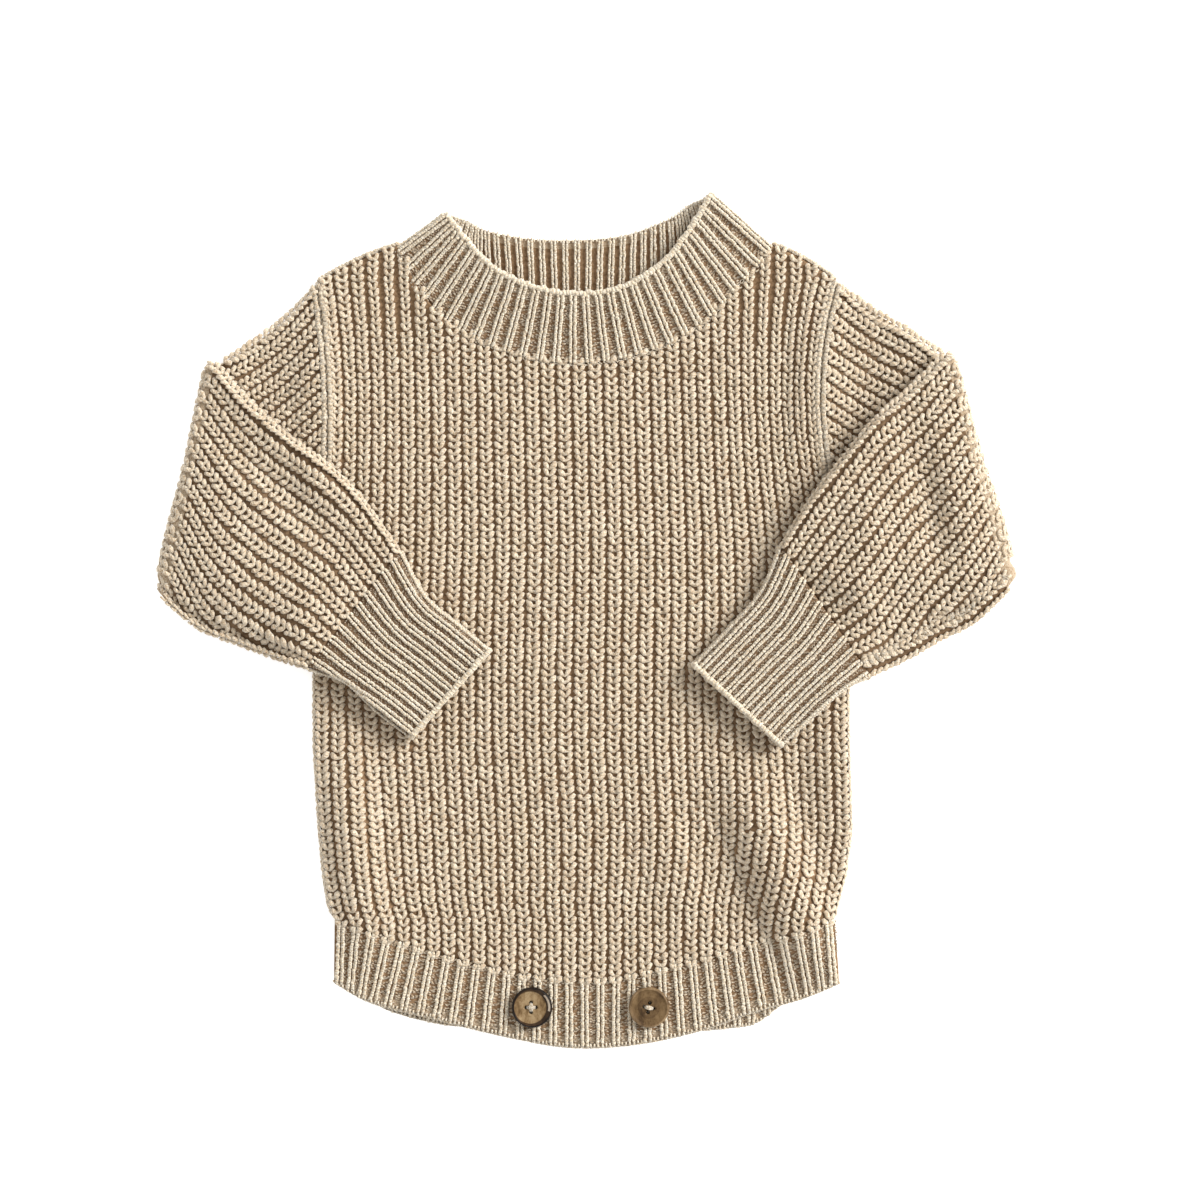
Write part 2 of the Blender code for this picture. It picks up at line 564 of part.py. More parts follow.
def neckband(finish):
    """One ring: its front half lies with the outside up, its back half with the inside up."""
    mesh = bmesh.new()
    half_gap = SEAM_GAP / 2
    crest = FRONT_TOP - NECK_FOLD_Z
    valley = crest - RIB_RISE
    back_outside = NECK_FOLD_Z
    front = evenly(NECK_FRONT, NECK_RIBS_FRONT * 2)
    back = evenly(NECK_BACK, NECK_RIBS_BACK * 2)
    sections = []

    def add(row, outward, turn, outer_radius, inner_radius):
        loop = neck_section(row[0:2], row[2:4], outward, turn, outer_radius, inner_radius)
        sections.append(add_row(mesh, loop))

    def add_fold(row, outward, first_turn, last_turn):
        for k in range(1, NECK_FOLD_STEPS + 1):
            turn = first_turn + (last_turn - first_turn) * k / (NECK_FOLD_STEPS + 1)
            outside_up = (1 + math.cos(turn)) / 2
            ribbed = crest if k % 2 == 0 else valley
            outer_radius = ribbed * outside_up + back_outside * (1 - outside_up)
            add(row, outward, turn, outer_radius, half_gap)

    for k, row in enumerate(front):
        add(row, (0.0, 0.0), 0.0, crest if k % 2 == 1 else valley, half_gap)
    add_fold(back[0], fold_outward(NECK_BACK[0], 1.0), 0.0, math.pi)
    for k, row in enumerate(back):
        add(row, (0.0, 0.0), math.pi, back_outside, half_gap + (0.0 if k % 2 == 1 else RIB_RISE))
    add_fold(front[0], fold_outward(NECK_FRONT[0], -1.0), math.pi, 0.0)

    rings = [closed(section) for section in sections]
    stitch_all(mesh, rings + rings[:1])
    return add_object("neckband", mesh, finish)


def fold_outward(row, way):
    """Level direction away from the neck, square to the fold at a shoulder; way is 1 on the right."""
    along_x, along_y = row.edge_x - row.seam_x, row.edge_y - row.seam_y
    length = math.hypot(along_x, along_y)
    return way * along_y / length, -way * along_x / length


# --- Sleeves and cuffs -------------------------------------------------------------------------
def stadium_point(share, half_width, half_thick):
    """Where a share of the way round a flat tube's section lies, and which way out is there.

    The way starts at the top end, runs along the face of the sleeve's front to the low end and
    comes back along the face of its back.
    """
    straight = 2 * (half_width - half_thick)
    quarter = math.pi / 2 * half_thick
    walk = share * (2 * straight + 4 * quarter)
    if walk < quarter:
        angle = walk / half_thick
        centre = -half_width + half_thick
    elif walk < quarter + straight:
        return -half_width + half_thick + walk - quarter, -half_thick, 0.0, -1.0
    elif walk < 3 * quarter + straight:
        angle = math.pi / 2 + (walk - quarter - straight) / half_thick
        centre = half_width - half_thick
    elif walk < 3 * quarter + 2 * straight:
        return half_width - half_thick - (walk - 3 * quarter - straight), half_thick, 0.0, 1.0
    else:
        angle = 1.5 * math.pi + (walk - 3 * quarter - 2 * straight) / half_thick
        centre = -half_width + half_thick
    out_across, out_thick = -math.cos(angle), -math.sin(angle)
    return centre + half_thick * out_across, half_thick * out_thick, out_across, out_thick


def sag(x, y, armhole, fold_low):
    """How far the folded sleeve sinks there, past the lying part of the sleeve and beside the body."""
    way = 1.0 if armhole.tip_x > 0 else -1.0
    along_x, along_y = fold_low[0] - armhole.under_x, fold_low[1] - UNDERARM_Y
    length = math.hypot(along_x, along_y)
    below = way * ((x - armhole.under_x) * along_y - (y - UNDERARM_Y) * along_x) / length
    beside = way * (x - side_x(min(y, UNDERARM_Y), "right" if way > 0 else "left"))
    return SAG_DEPTH * ramp(below / SAG_REACH) * ramp(beside / SAG_REACH)


def stretch_stations(rows, steps):
    return [smooth_row(rows, (len(rows) - 1) * k / steps) for k in range(steps + 1)]


def tube_stations(table, tube):
    """Rows along a tube as numbers: the lying part, the fold, the part folded over."""
    lying = [row for row in table if row.turn == 0]
    over = [row for row in table if row.turn == 180]
    stations = []
    if lying:
        stations += stretch_stations(lying, tube.lying_steps)
        for k in range(1, FOLD_STEPS + 1):
            turn = 180 * k / (FOLD_STEPS + 1)
            stations.append(list(over[0][1:6]) + [turn, 0.0])
    return stations + stretch_stations(over, tube.over_steps)


def place_on_tube(station, across, thick, outward, half_width, armhole, fold_low):
    """The place of a section's point: across it from top end to low end, and through its thickness."""
    top_x, top_y, low_x, low_y, bow, turn = station[0:6]
    angle = math.radians(turn)
    pull = FOLD_CORNER_PULL * math.sin(angle)
    share = (across + half_width) / (2 * half_width) * (1.0 - pull / (2 * half_width))
    x = top_x + (low_x - top_x) * share + bow * 4 * share * (1 - share)
    y = top_y + (low_y - top_y) * share
    swell = 1.0 + FOLD_SWELL * bump((share - FOLD_SWELL_AT) / FOLD_SWELL_REACH) * math.sin(angle)
    radius = (FOLD_RADIUS + thick * (1.0 - FOLD_SQUEEZE * math.sin(angle))) * swell
    x += outward[0] * radius * math.sin(angle)
    y += outward[1] * radius * math.sin(angle)
    z = FOLD_AXIS_Z - radius * math.cos(angle)
    if turn == 180:
        z += body_lift(x, y) - sag(x, y, armhole, fold_low)
    return x, y, z


def flat_tube(name, table, armhole, fold, tube, seam_rib, finish):
    """A sleeve or cuff: flat tube, ribs outside, plain inside; its lying part is plain below."""
    mesh = bmesh.new()
    way = 1.0 if armhole.tip_x > 0 else -1.0
    along_x, along_y = fold.low_x - fold.top_x, fold.low_y - fold.top_y
    length = math.hypot(along_x, along_y)
    outward = (-way * along_y / length, way * along_x / length)
    fold_low = (fold.low_x, fold.low_y)
    outer, inner = [], []
    for station in tube_stations(table, tube):
        half_width = math.hypot(station[2] - station[0], station[3] - station[1]) / 2
        turn, loft = station[5], station[6]
        lying = turn < LYING_TURN

        def place(across, thick):
            return place_on_tube(station, across, thick, outward, half_width, armhole, fold_low)

        ring = []
        for k in range(tube.ribs * 2):
            across, thick, out_across, out_thick = stadium_point(k / (tube.ribs * 2), half_width,
                                                                 tube.half_thick)
            showing = -out_thick if lying else out_thick
            swell = loft * max(showing, 0.0) * (1.0 - (across / half_width) ** 2)
            depth = tube.rise if k % 2 == 0 else 0.0
            if seam_rib and k == seam_rib * 2:
                depth += UNDER_SEAM_DEPTH
            if lying and out_thick > 0.0:
                depth = 0.0
            across -= out_across * depth
            thick += out_thick * (swell - depth)
            ring.append(place(across, thick))
        outer.append(add_row(mesh, ring))

        reach = half_width - TUBE_WALL_AT_EDGE
        ring = []
        for face in (-1.0, 1.0):
            for k in range(INNER_SPOTS):
                across = reach * (2.0 * k / (INNER_SPOTS - 1) - 1.0) * -face
                swells = (face < 0) == lying
                swell = loft * (1.0 - (across / half_width) ** 2) if swells else 0.0
                ring.append(place(across, face * (HOLLOW_HALF + swell)))
        inner.append(add_row(mesh, ring))
    close_tube(mesh, outer, inner)
    return add_object(name, mesh, finish)


# --- Buttons -----------------------------------------------------------------------------------
def button(row, finish):
    """A turned disc with a raised rim and a dished middle, drilled with four holes."""
    inner_rim = BUTTON_RADIUS - BUTTON_RIM
    profile = ((0.0, 0.0), (BUTTON_RADIUS - BUTTON_BEVEL, 0.0), (BUTTON_RADIUS, BUTTON_BEVEL),
               (BUTTON_RADIUS, BUTTON_THICK - BUTTON_BEVEL), (BUTTON_RADIUS - BUTTON_BEVEL, BUTTON_THICK),
               (inner_rim, BUTTON_THICK), (inner_rim - BUTTON_DISH, BUTTON_THICK - BUTTON_DISH),
               (0.0, BUTTON_THICK - BUTTON_DISH))
    base = FRONT_TOP + SEAM_GAP
    mesh = bmesh.new()
    corners = [mesh.verts.new((r * MM, 0.0, z * MM)) for r, z in profile]
    edges = [mesh.edges.new(pair) for pair in zip(corners, corners[1:])]
    bmesh.ops.spin(mesh, geom=corners + edges, cent=(0, 0, 0), axis=(0, 0, 1), angle=2 * math.pi,
                   steps=BUTTON_STEPS, use_merge=True)
    bmesh.ops.remove_doubles(mesh, verts=mesh.verts, dist=0.00001)
    disc = add_object(row.name, mesh, finish)
    disc.location = (row.x * MM, row.y * MM, base * MM)

    drill = bmesh.new()
    for way_x in (-1, 1):
        for way_y in (-1, 1):
            made = bmesh.ops.create_cone(drill, cap_ends=True, segments=BUTTON_HOLE_SIDES,
                                         depth=4 * BUTTON_THICK * MM, radius1=BUTTON_HOLE_RADIUS * MM,
                                         radius2=BUTTON_HOLE_RADIUS * MM)
            offset = (way_x * BUTTON_HOLE_OFFSET * MM, way_y * BUTTON_HOLE_OFFSET * MM, 0.0)
            bmesh.ops.translate(drill, verts=made["verts"], vec=offset)
    cutter = add_object(row.name + "_drill", drill, finish)
    cutter.location = disc.location
    cutter.hide_render = True
    cutter.display_type = "WIRE"
    holes = disc.modifiers.new("holes", "BOOLEAN")
    holes.operation = "DIFFERENCE"
    holes.solver = "EXACT"
    holes.object = cutter
    return disc


# --- The garment -------------------------------------------------------------------------------
def moved_along(table, distance):
    """The table with its first section moved along the tube, to keep the seam gap."""
    first, second = table[0], table[1]
    step_x = (second.top_x + second.low_x - first.top_x - first.low_x) / 2
    step_y = (second.top_y + second.low_y - first.top_y - first.low_y) / 2
    scale = distance / math.hypot(step_x, step_y)
    moved = first._replace(top_x=first.top_x + step_x * scale, top_y=first.top_y + step_y * scale,
                           low_x=first.low_x + step_x * scale, low_y=first.low_y + step_y * scale)
    return (moved,) + table[1:]


def build():
    for old in list(bpy.data.objects):
        bpy.data.objects.remove(old, do_unlink=True)
    knit = material("oatmeal_knit", KNIT_COLOUR, 0.9)
    horn = material("brown_button", BUTTON_COLOUR, 0.45)
    pieces = [
        back_panel(knit),
        front_panel(knit),
        neckband(knit),
        hem_band("hem_band_front", HEM_FRONT, FRONT_UNDER, True, knit),
        hem_band("hem_band_back", HEM_BACK, 0.0, False, knit),
    ]
    for which, sleeve, cuff, armhole, seam_rib in (
            ("left", SLEEVE_LEFT, CUFF_LEFT, ARMHOLE_LEFT, UNDER_SEAM_RIB_LEFT),
            ("right", SLEEVE_RIGHT, CUFF_RIGHT, ARMHOLE_RIGHT, UNDER_SEAM_RIB_RIGHT)):
        fold = next(row for row in sleeve if row.turn == 180)
        pieces.append(flat_tube("sleeve_" + which, moved_along(sleeve, SEAM_GAP), armhole, fold,
                                SLEEVE_TUBE, seam_rib, knit))
        pieces.append(flat_tube("cuff_" + which, moved_along(cuff, SEAM_GAP), armhole, fold,
                                CUFF_TUBE, None, knit))
    pieces += [button(row, horn) for row in BUTTONS]
    garment = bpy.data.objects.new("romper", None)
    bpy.context.collection.objects.link(garment)
    for piece in pieces:
        piece.parent = garment


build()
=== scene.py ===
"""Looks of the baby romper: every stitch that shows is a loop of yarn laid on thin shells of the cloth.

Sizes are in millimetres until a mesh is made.  X runs across the garment, Y to its neck, Z up.
"""
import json
import math
from collections import namedtuple

import bmesh
import bpy
import numpy as np
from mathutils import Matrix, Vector

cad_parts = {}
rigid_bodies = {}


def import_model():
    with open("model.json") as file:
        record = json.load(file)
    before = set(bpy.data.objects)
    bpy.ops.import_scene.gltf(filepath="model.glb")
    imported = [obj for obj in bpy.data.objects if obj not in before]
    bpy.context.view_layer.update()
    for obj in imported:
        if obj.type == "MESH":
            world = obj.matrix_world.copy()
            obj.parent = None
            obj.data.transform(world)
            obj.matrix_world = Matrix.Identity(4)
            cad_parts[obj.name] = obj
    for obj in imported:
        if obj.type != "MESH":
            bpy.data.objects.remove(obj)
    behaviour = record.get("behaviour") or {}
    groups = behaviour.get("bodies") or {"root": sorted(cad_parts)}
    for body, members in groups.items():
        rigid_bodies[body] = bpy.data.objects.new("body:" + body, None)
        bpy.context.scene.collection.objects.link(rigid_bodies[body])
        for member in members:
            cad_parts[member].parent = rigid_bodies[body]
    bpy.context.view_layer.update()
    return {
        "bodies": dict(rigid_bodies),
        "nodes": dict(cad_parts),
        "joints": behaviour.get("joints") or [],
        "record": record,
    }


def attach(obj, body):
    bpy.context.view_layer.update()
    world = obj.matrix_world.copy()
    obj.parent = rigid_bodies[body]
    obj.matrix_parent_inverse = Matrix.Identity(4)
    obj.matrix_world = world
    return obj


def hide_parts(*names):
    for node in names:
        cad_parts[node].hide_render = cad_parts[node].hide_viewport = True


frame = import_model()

MM = 0.001


def table(columns, *rows):
    """Rows of numbers with named columns; the first word of each is its name."""
    row_type = namedtuple("Row", "name " + columns)
    return [row_type(*row) for row in rows]


# --- Cloth -------------------------------------------------------------------------------------
SEAM_GAP = 0.3
BACK_TOP = 3.2
FRONT_UNDER = BACK_TOP + SEAM_GAP
SHELL = 1.7                 # thickness of the shell that carries the front's stitches
BACK_SHELL_Z = 0.0          # the back's shell starts this high
LOWEST = -0.3               # nothing reaches further down than this, into the surface below
ROLL = 2.4                  # radius at which the front's stitches turn down at its free edges
ROLL_MOST = 1.9             # and how far round they turn, in radians

# --- Body outline ------------------------------------------------------------------------------
BODY_SIDES = table(
    "y left right",
    ("hem seam", -148, -123, 123),
    ("pinch over the hem", -140, -126, 124.5),
    ("lower side", -125, -128.5, 128.5),
    ("hip", -103, -130.5, 131),
    ("waist", -64, -133, 129.5),
    ("below the cuffs", -24.5, -133.5, 129.5),
    ("below the underarm", 10, -132.5, 130),
    ("underarm", 39.5, -130.5, 128.5),
)
SIDE_CURVES = {side: [(row.y, getattr(row, side)) for row in BODY_SIDES] for side in ("left", "right")}
UNDERARM_Y = BODY_SIDES[-1].y
ARMHOLES = {row.name: row for row in table(
    "tip_x tip_y under_x bow",
    ("left", -131.5, 167, -130.5, 5.4),
    ("right", 123.5, 168, 128.5, -12),
)}
ARMHOLE_PULL = 4            # how little of an armhole's bow reaches the ribs further in
SHOULDER_CROWN = 1.8

BAND_COLUMNS = "seam_x seam_y edge_x edge_y"
NECK_LEFT_FOLD = ("left fold", -92.5, 185, -67, 201)
NECK_RIGHT_FOLD = ("right fold", 92, 185.5, 61, 211.5)
NECK_FRONT = table(
    BAND_COLUMNS,
    NECK_LEFT_FOLD,
    ("left collarbone", -88, 175, -63.5, 196.5),
    ("left upper", -81, 162, -58.5, 190),
    ("left middle", -69, 148.5, -50, 180),
    ("left lower", -50.5, 137.5, -38, 171),
    ("left of centre", -27, 130, -20.5, 164.5),
    ("centre", -5, 127.5, -5, 162.5),
    ("right of centre", 19.5, 130, 12.5, 164),
    ("right lower", 42, 137.5, 28, 170.5),
    ("right middle", 59, 148.5, 41, 181),
    ("right upper", 73.5, 163.5, 50, 193),
    ("right collarbone", 84.5, 175.5, 56.5, 203),
    NECK_RIGHT_FOLD,
)
NECK_BACK = table(
    BAND_COLUMNS,
    NECK_RIGHT_FOLD,
    ("right shoulder", 79.5, 178.5, 57.5, 208.5),
    ("right nape", 62.5, 172, 51.5, 206),
    ("right of centre", 43, 164.5, 41, 199),
    ("centre right", 15, 158.5, 16, 190.5),
    ("centre left", -19, 158, -20, 189),
    ("left of centre", -45.5, 160.5, -47, 193),
    ("left nape", -67.5, 167, -58, 198),
    ("left shoulder", -83.5, 176.5, -63.5, 199.5),
    NECK_LEFT_FOLD,
)
NECK_RIBS_FRONT = 28
NECK_RIBS_BACK = 36
FOLD_FROM = 0.5             # the ends of the front neckband turn down from this rib
FOLD_ROLL = 2.0             # at this radius
FOLD_STEP = 0.25            # a rib's direction there is measured over this share of a rib

HEM_FRONT = table(
    BAND_COLUMNS,
    ("left side", -123, -148, -123.5, -179),
    ("left leg, outer", -105, -154.5, -110.5, -187),
    ("left leg, upper", -91, -159.5, -98.5, -191.5),
    ("left leg", -71.5, -166, -77, -197),
    ("left leg, inner", -51.5, -171.5, -55.5, -202.5),
    ("crotch, left button", -32, -176, -33.5, -207.5),
    ("crotch, left of centre", -10, -178, -10, -211.5),
    ("crotch, right of centre", 12.5, -178, 12.5, -211.5),
    ("crotch, right button", 34.5, -173.5, 35.5, -208.5),
    ("right leg, inner", 56.5, -168.5, 60, -202.5),
    ("right leg", 79, -161, 84.5, -194),
    ("right leg, outer", 101, -155.5, 107.5, -187.5),
    ("right side", 123, -148, 125.5, -180),
)
HEM_BACK = table(
    BAND_COLUMNS,
    ("left side", -123, -148, -122.5, -179),
    ("left leg, outer", -105, -154.5, -109.5, -187),
    ("left leg, drop", -91, -159.5, -95, -194.5),
    ("left leg", -71.5, -166, -71.5, -200.5),
    ("left leg, inner", -51.5, -171.5, -51.5, -202.5),
    ("crotch, left", -27, -176.5, -27, -207.5),
    ("crotch, centre", 0, -178.5, 0, -210.5),
    ("crotch, right", 27, -175, 27, -209),
    ("right leg, inner", 51.5, -169.5, 51.5, -204.5),
    ("right leg, drop", 71.5, -163.5, 71.5, -202.5),
    ("right leg, corner", 84.5, -158.5, 84.5, -200),
    ("right leg, outer", 98.5, -156, 99, -190),
    ("right side", 123, -148, 124.5, -179),
)
BAND_STAND = 1.3            # how far a band's stitches stand over its shell
BACK_BAND = (0.7, 1.8)      # underside and face of the back's bands
NECK_FACE = 6.0             # face of the front neckband at its seam
NECK_RISE = 3.5             # and how much higher it is at its edge
HEM_FACE = 5.4              # face of the front hem band, without the body's swell
BODY_RIBS = 33

# --- Folds and swell ---------------------------------------------------------------------------
LOFT_RISE = 3.2             # the body swells this much, over an oval
LOFT_HALF_WIDTH = 128.0
LOFT_CENTRE_Y = -20.0
LOFT_HALF_LENGTH = 145.0
FOLD_FADE = 0.75            # a fold fades out past its ends, at this share of its length from its middle
FOLD_COLUMNS = "x0 y0 x1 y1 half_width rise"
BODY_FOLDS = table(
    FOLD_COLUMNS,
    ("lower right ridge", 78, -78, 113, -168, 22, 12),
    ("lower right trough", 50, -92, 86, -166, 14, -4),
    ("low ridge left of the trough", 30, -80, 58, -160, 20, 2.4),
    ("right side ridge", 128, -34, 125, -108, 24, 6),
    ("lower left ridge", -120, -54, -106, -160, 17, 7),
    ("raised left side", -130, -30, -112, -205, 56, 5),
    ("ridge left of the neck", -84, 196, -66, 136, 17, 3.2),
    ("left armhole ridge", -131, 160, -129, 64, 15, 4),
    ("right armhole ridge", 116, 160, 111, 74, 17, 4.6),
)
LYING_FOLDS_LEFT = table(FOLD_COLUMNS, ("hollow beside the armhole", -162, 144, -154, 90, 18, -2.6))
LYING_FOLDS_RIGHT = table(FOLD_COLUMNS, ("hollow beside the armhole", 144, 156, 133, 90, 21, -3.2))
FOLDS_LEFT = table(
    FOLD_COLUMNS,
    ("raised upper edge", -182, 122, -92, 34, 8, 2.2),
    ("hollow inside the upper edge", -186, 100, -108, 24, 13, -3.6),
    ("raised lower edge", -196, 44, -118, -26, 30, 4.4),
)
CUFF_FOLDS_LEFT = table(FOLD_COLUMNS, ("raised lower edge", -140, -8, -84, -62, 34, 3.2))
FOLDS_RIGHT = table(
    FOLD_COLUMNS,
    ("raised upper edge", 168, 130, 92, 30, 12, 2.6),
    ("inner ridge", 134, 66, 144, 14, 16, 3),
    ("hollow down the middle", 158, 100, 174, 24, 15, -4.2),
    ("hollow over the cuff", 100, 24, 146, -12, 13, -2.4),
    ("outer ridge", 181, 92, 191, 14, 17, 3.4),
)

# --- Sleeves and cuffs -------------------------------------------------------------------------
# Each row is a section from its top end to its low end; pitch is the width of a rib there.
SECTION_COLUMNS = "top_x top_y low_x low_y bow turn loft pitch"
Section = namedtuple("Section", SECTION_COLUMNS)
SLEEVE_LEFT = table(
    SECTION_COLUMNS,
    ("armhole", -131.5, 167, -130.5, 39.5, 5.4, 0, 0, 8.8),
    ("upper arm", -148, 149.5, -148.5, 29.5, 1, 0, 1, 8.9),
    ("over the elbow", -165, 136.5, -174, 19, 0, 0, 0.8, 8.9),
    ("fold, lying", -181, 127, -205, 6.5, 0, 0, 0, 8.8),
    ("fold, over", -181, 127, -205, 6.5, 0, 180, 0.5, 8.8),
    ("below the fold", -165, 109, -188.5, -6.5, 0, 180, 2.6, 9.4),
    ("forearm", -145.5, 92, -171, -13, 0, 180, 4, 9.3),
    ("mid forearm", -125.5, 77.5, -156, -18.5, 0, 180, 4.6, 9),
    ("lower forearm", -108.5, 60.5, -145.5, -22, 0, 180, 4.2, 8.1),
    ("cuff seam", -90, 34.5, -136.5, -24.5, 0, 180, 1.2, 6.8),
)
CUFF_LEFT = table(
    SECTION_COLUMNS,
    ("cuff seam", -90, 34.5, -136.5, -24.5, 0, 180, 1.2, 6.9),
    ("upper cuff", -77.5, 12, -118, -31, 0, 180, 1.2, 5.8),
    ("lower cuff", -62.5, -1, -102, -45.5, 0, 180, 1, 5.6),
    ("cuff end", -46, -14.5, -85.5, -58, 0, 180, 1, 5.6),
)
SLEEVE_RIGHT = table(
    SECTION_COLUMNS,
    ("armhole", 123.5, 168, 128.5, 39.5, -12, 0, 0, 8.4),
    ("upper arm", 140.5, 154.5, 150, 31.5, -3, 0, 1, 9),
    ("over the elbow", 159, 143.5, 177.5, 22, 0, 0, 0.8, 9.6),
    ("fold, lying", 176, 131.5, 207, 12.5, 0, 0, 0, 10.2),
    ("fold, over", 176, 131.5, 207, 12.5, 0, 180, 0.5, 8.7),
    ("below the fold", 159, 114.5, 190.5, -3, 0, 180, 2.6, 9.1),
    ("forearm", 141.5, 99.5, 175.5, -10.5, 0, 180, 4, 9.1),
    ("mid forearm", 124.5, 79, 163, -18, 0, 180, 5, 8.8),
    ("lower forearm", 109, 59, 152, -23.5, 0, 180, 5.2, 8.2),
    ("cuff seam", 95.5, 37, 140.5, -28.5, 0, 180, 0.8, 6.9),
)
CUFF_RIGHT = table(
    SECTION_COLUMNS,
    ("cuff seam", 95.5, 37, 140.5, -28.5, 0, 180, 0.8, 7),
    ("upper cuff", 86, 15, 126.5, -35, 0, 180, 1.2, 5.9),
    ("lower cuff", 70.5, -3, 112, -48, 0, 180, 1, 5.6),
    ("cuff end", 52.5, -21.5, 96.5, -62, 0, 180, 1, 5.6),
)
SLEEVE_HALF_THICK = 3.5
CUFF_HALF_THICK = 3.3
FOLD_AXIS_Z = 2 * SLEEVE_HALF_THICK + SEAM_GAP / 2
FOLD_RADIUS = SLEEVE_HALF_THICK + SEAM_GAP / 2
FOLD_SQUEEZE = 0.12
FOLD_CORNER_PULL = 5.0      # a fold's low corner is rounded by this much
FOLD_SWELL = 0.5            # and the fold bulges there
FOLD_SWELL_AT = 0.82
FOLD_SWELL_REACH = 0.42
HOLLOW_HALF = 0.15          # half the height of the hollow in a flat tube
OVER_LIFT = 3.2             # the folded part is this much thicker, all of it upward
SAG_DEPTH = 4.5             # it sinks by this much where nothing lies under it
SAG_REACH = 26.0
SLEEVE_DEPTH = 1.8          # the shell lies this far inside the sleeve's face
CUFF_DEPTH = 1.4
RESTING_DEPTH = 0.75        # and this far over the surface where the sleeve lies on it
CREASE_DEPTH = 1.3          # the crease along the underarm
CREASE_REACH = 4.5
STILL_LYING = 60.0          # a section that has turned by fewer degrees counts as lying
LYING_FADE = 0.5            # the lying part's folds fade in over this way along it


# --- Curves through table rows -----------------------------------------------------------------
def mix(a, b, t):
    return a + (b - a) * t


def clamp(t):
    return min(max(t, 0.0), 1.0)


def bump(t):
    return (1.0 - t * t) ** 2 if abs(t) < 1.0 else 0.0


def ramp(t):
    t = clamp(t)
    return t * t * (3.0 - 2.0 * t)


def smooth_row(rows, position):
    """The numbers between two rows of a table, on a smooth curve through all of them."""
    last = len(rows) - 1
    index = min(int(position), last - 1)
    t = position - index
    near = [rows[min(max(index + k, 0), last)][1:] for k in (-1, 0, 1, 2)]
    return [0.5 * (2 * p1 + (p2 - p0) * t + (2 * p0 - 5 * p1 + 4 * p2 - p3) * t ** 2
                   + (3 * p1 - p0 - 3 * p2 + p3) * t ** 3) for p0, p1, p2, p3 in zip(*near)]


def evenly(rows, count, steps_per_row=24):
    """Rows at even steps along the curve of a table's first two numbers."""
    fine = [smooth_row(rows, k / steps_per_row) for k in range((len(rows) - 1) * steps_per_row + 1)]
    walked = [0.0]
    for before, after in zip(fine, fine[1:]):
        walked.append(walked[-1] + math.hypot(after[0] - before[0], after[1] - before[1]))
    found, at = [], 0
    for k in range(count + 1):
        target = walked[-1] * k / count
        while at < len(walked) - 2 and walked[at + 1] < target:
            at += 1
        share = clamp((target - walked[at]) / (walked[at + 1] - walked[at]))
        found.append([mix(a, b, share) for a, b in zip(fine[at], fine[at + 1])])
    return found


def height_at(curve, x):
    for (x0, y0), (x1, y1) in zip(curve, curve[1:]):
        if x <= x1:
            break
    return mix(y0, y1, clamp((x - x0) / (x1 - x0)))


def distances(points):
    """How far along its line each point is."""
    return np.concatenate(([0.0], np.cumsum(np.linalg.norm(np.diff(points, axis=0), axis=1))))


# --- Body shape --------------------------------------------------------------------------------
def armhole_share(y, side):
    return clamp((y - UNDERARM_Y) / (ARMHOLES[side].tip_y - UNDERARM_Y))


def straight_side_x(y, side):
    if y > UNDERARM_Y:
        return mix(ARMHOLES[side].under_x, ARMHOLES[side].tip_x, armhole_share(y, side))
    return height_at(SIDE_CURVES[side], y)


def side_x(y, side):
    t = armhole_share(y, side)
    return straight_side_x(y, side) + ARMHOLES[side].bow * 4 * t * (1 - t)


def shoulder(start, end, steps=6):
    line = []
    for k in range(steps + 1):
        t = k / steps
        line.append((mix(start[0], end[0], t),
                     mix(start[1], end[1], t) + SHOULDER_CROWN * 4 * t * (1 - t)))
    return line


def seam_line(rows):
    return sorted((row[0], row[1]) for row in evenly(rows, 60))


def top_edge(rows):
    neck = seam_line(rows)
    left, right = ARMHOLES["left"], ARMHOLES["right"]
    return (shoulder((left.tip_x, left.tip_y), neck[0])[:-1] + neck
            + shoulder(neck[-1], (right.tip_x, right.tip_y))[1:])


FRONT_EDGES = top_edge(NECK_FRONT), seam_line(HEM_FRONT)
BACK_EDGES = top_edge(NECK_BACK), seam_line(HEM_BACK)


def folds_at(x, y, folds):
    """Height of soft folds, each a long hump or hollow from one point to another."""
    lift = 0.0
    for fold in folds:
        along_x, along_y = fold.x1 - fold.x0, fold.y1 - fold.y0
        length = math.hypot(along_x, along_y)
        t = ((x - fold.x0) * along_x + (y - fold.y0) * along_y) / length ** 2
        across = ((x - fold.x0) * along_y - (y - fold.y0) * along_x) / length
        lift += fold.rise * bump(across / fold.half_width) * bump((t - 0.5) / FOLD_FADE)
    return lift


def body_lift(x, y):
    lift = LOFT_RISE * bump(x / LOFT_HALF_WIDTH) * bump((y - LOFT_CENTRE_Y) / LOFT_HALF_LENGTH)
    return max(lift + folds_at(x, y, BODY_FOLDS), 0.0)


def panel_x(rib, y):
    """x of a rib's line on the front or back."""
    spot = rib / BODY_RIBS
    x = mix(straight_side_x(y, "left"), straight_side_x(y, "right"), spot)
    pulled = "left" if spot < 0.5 else "right"
    return x + (side_x(y, pulled) - straight_side_x(y, pulled)) * abs(2 * spot - 1) ** ARMHOLE_PULL


def beside_neck(x):
    return not NECK_FRONT[0].seam_x < x < NECK_FRONT[-1].seam_x


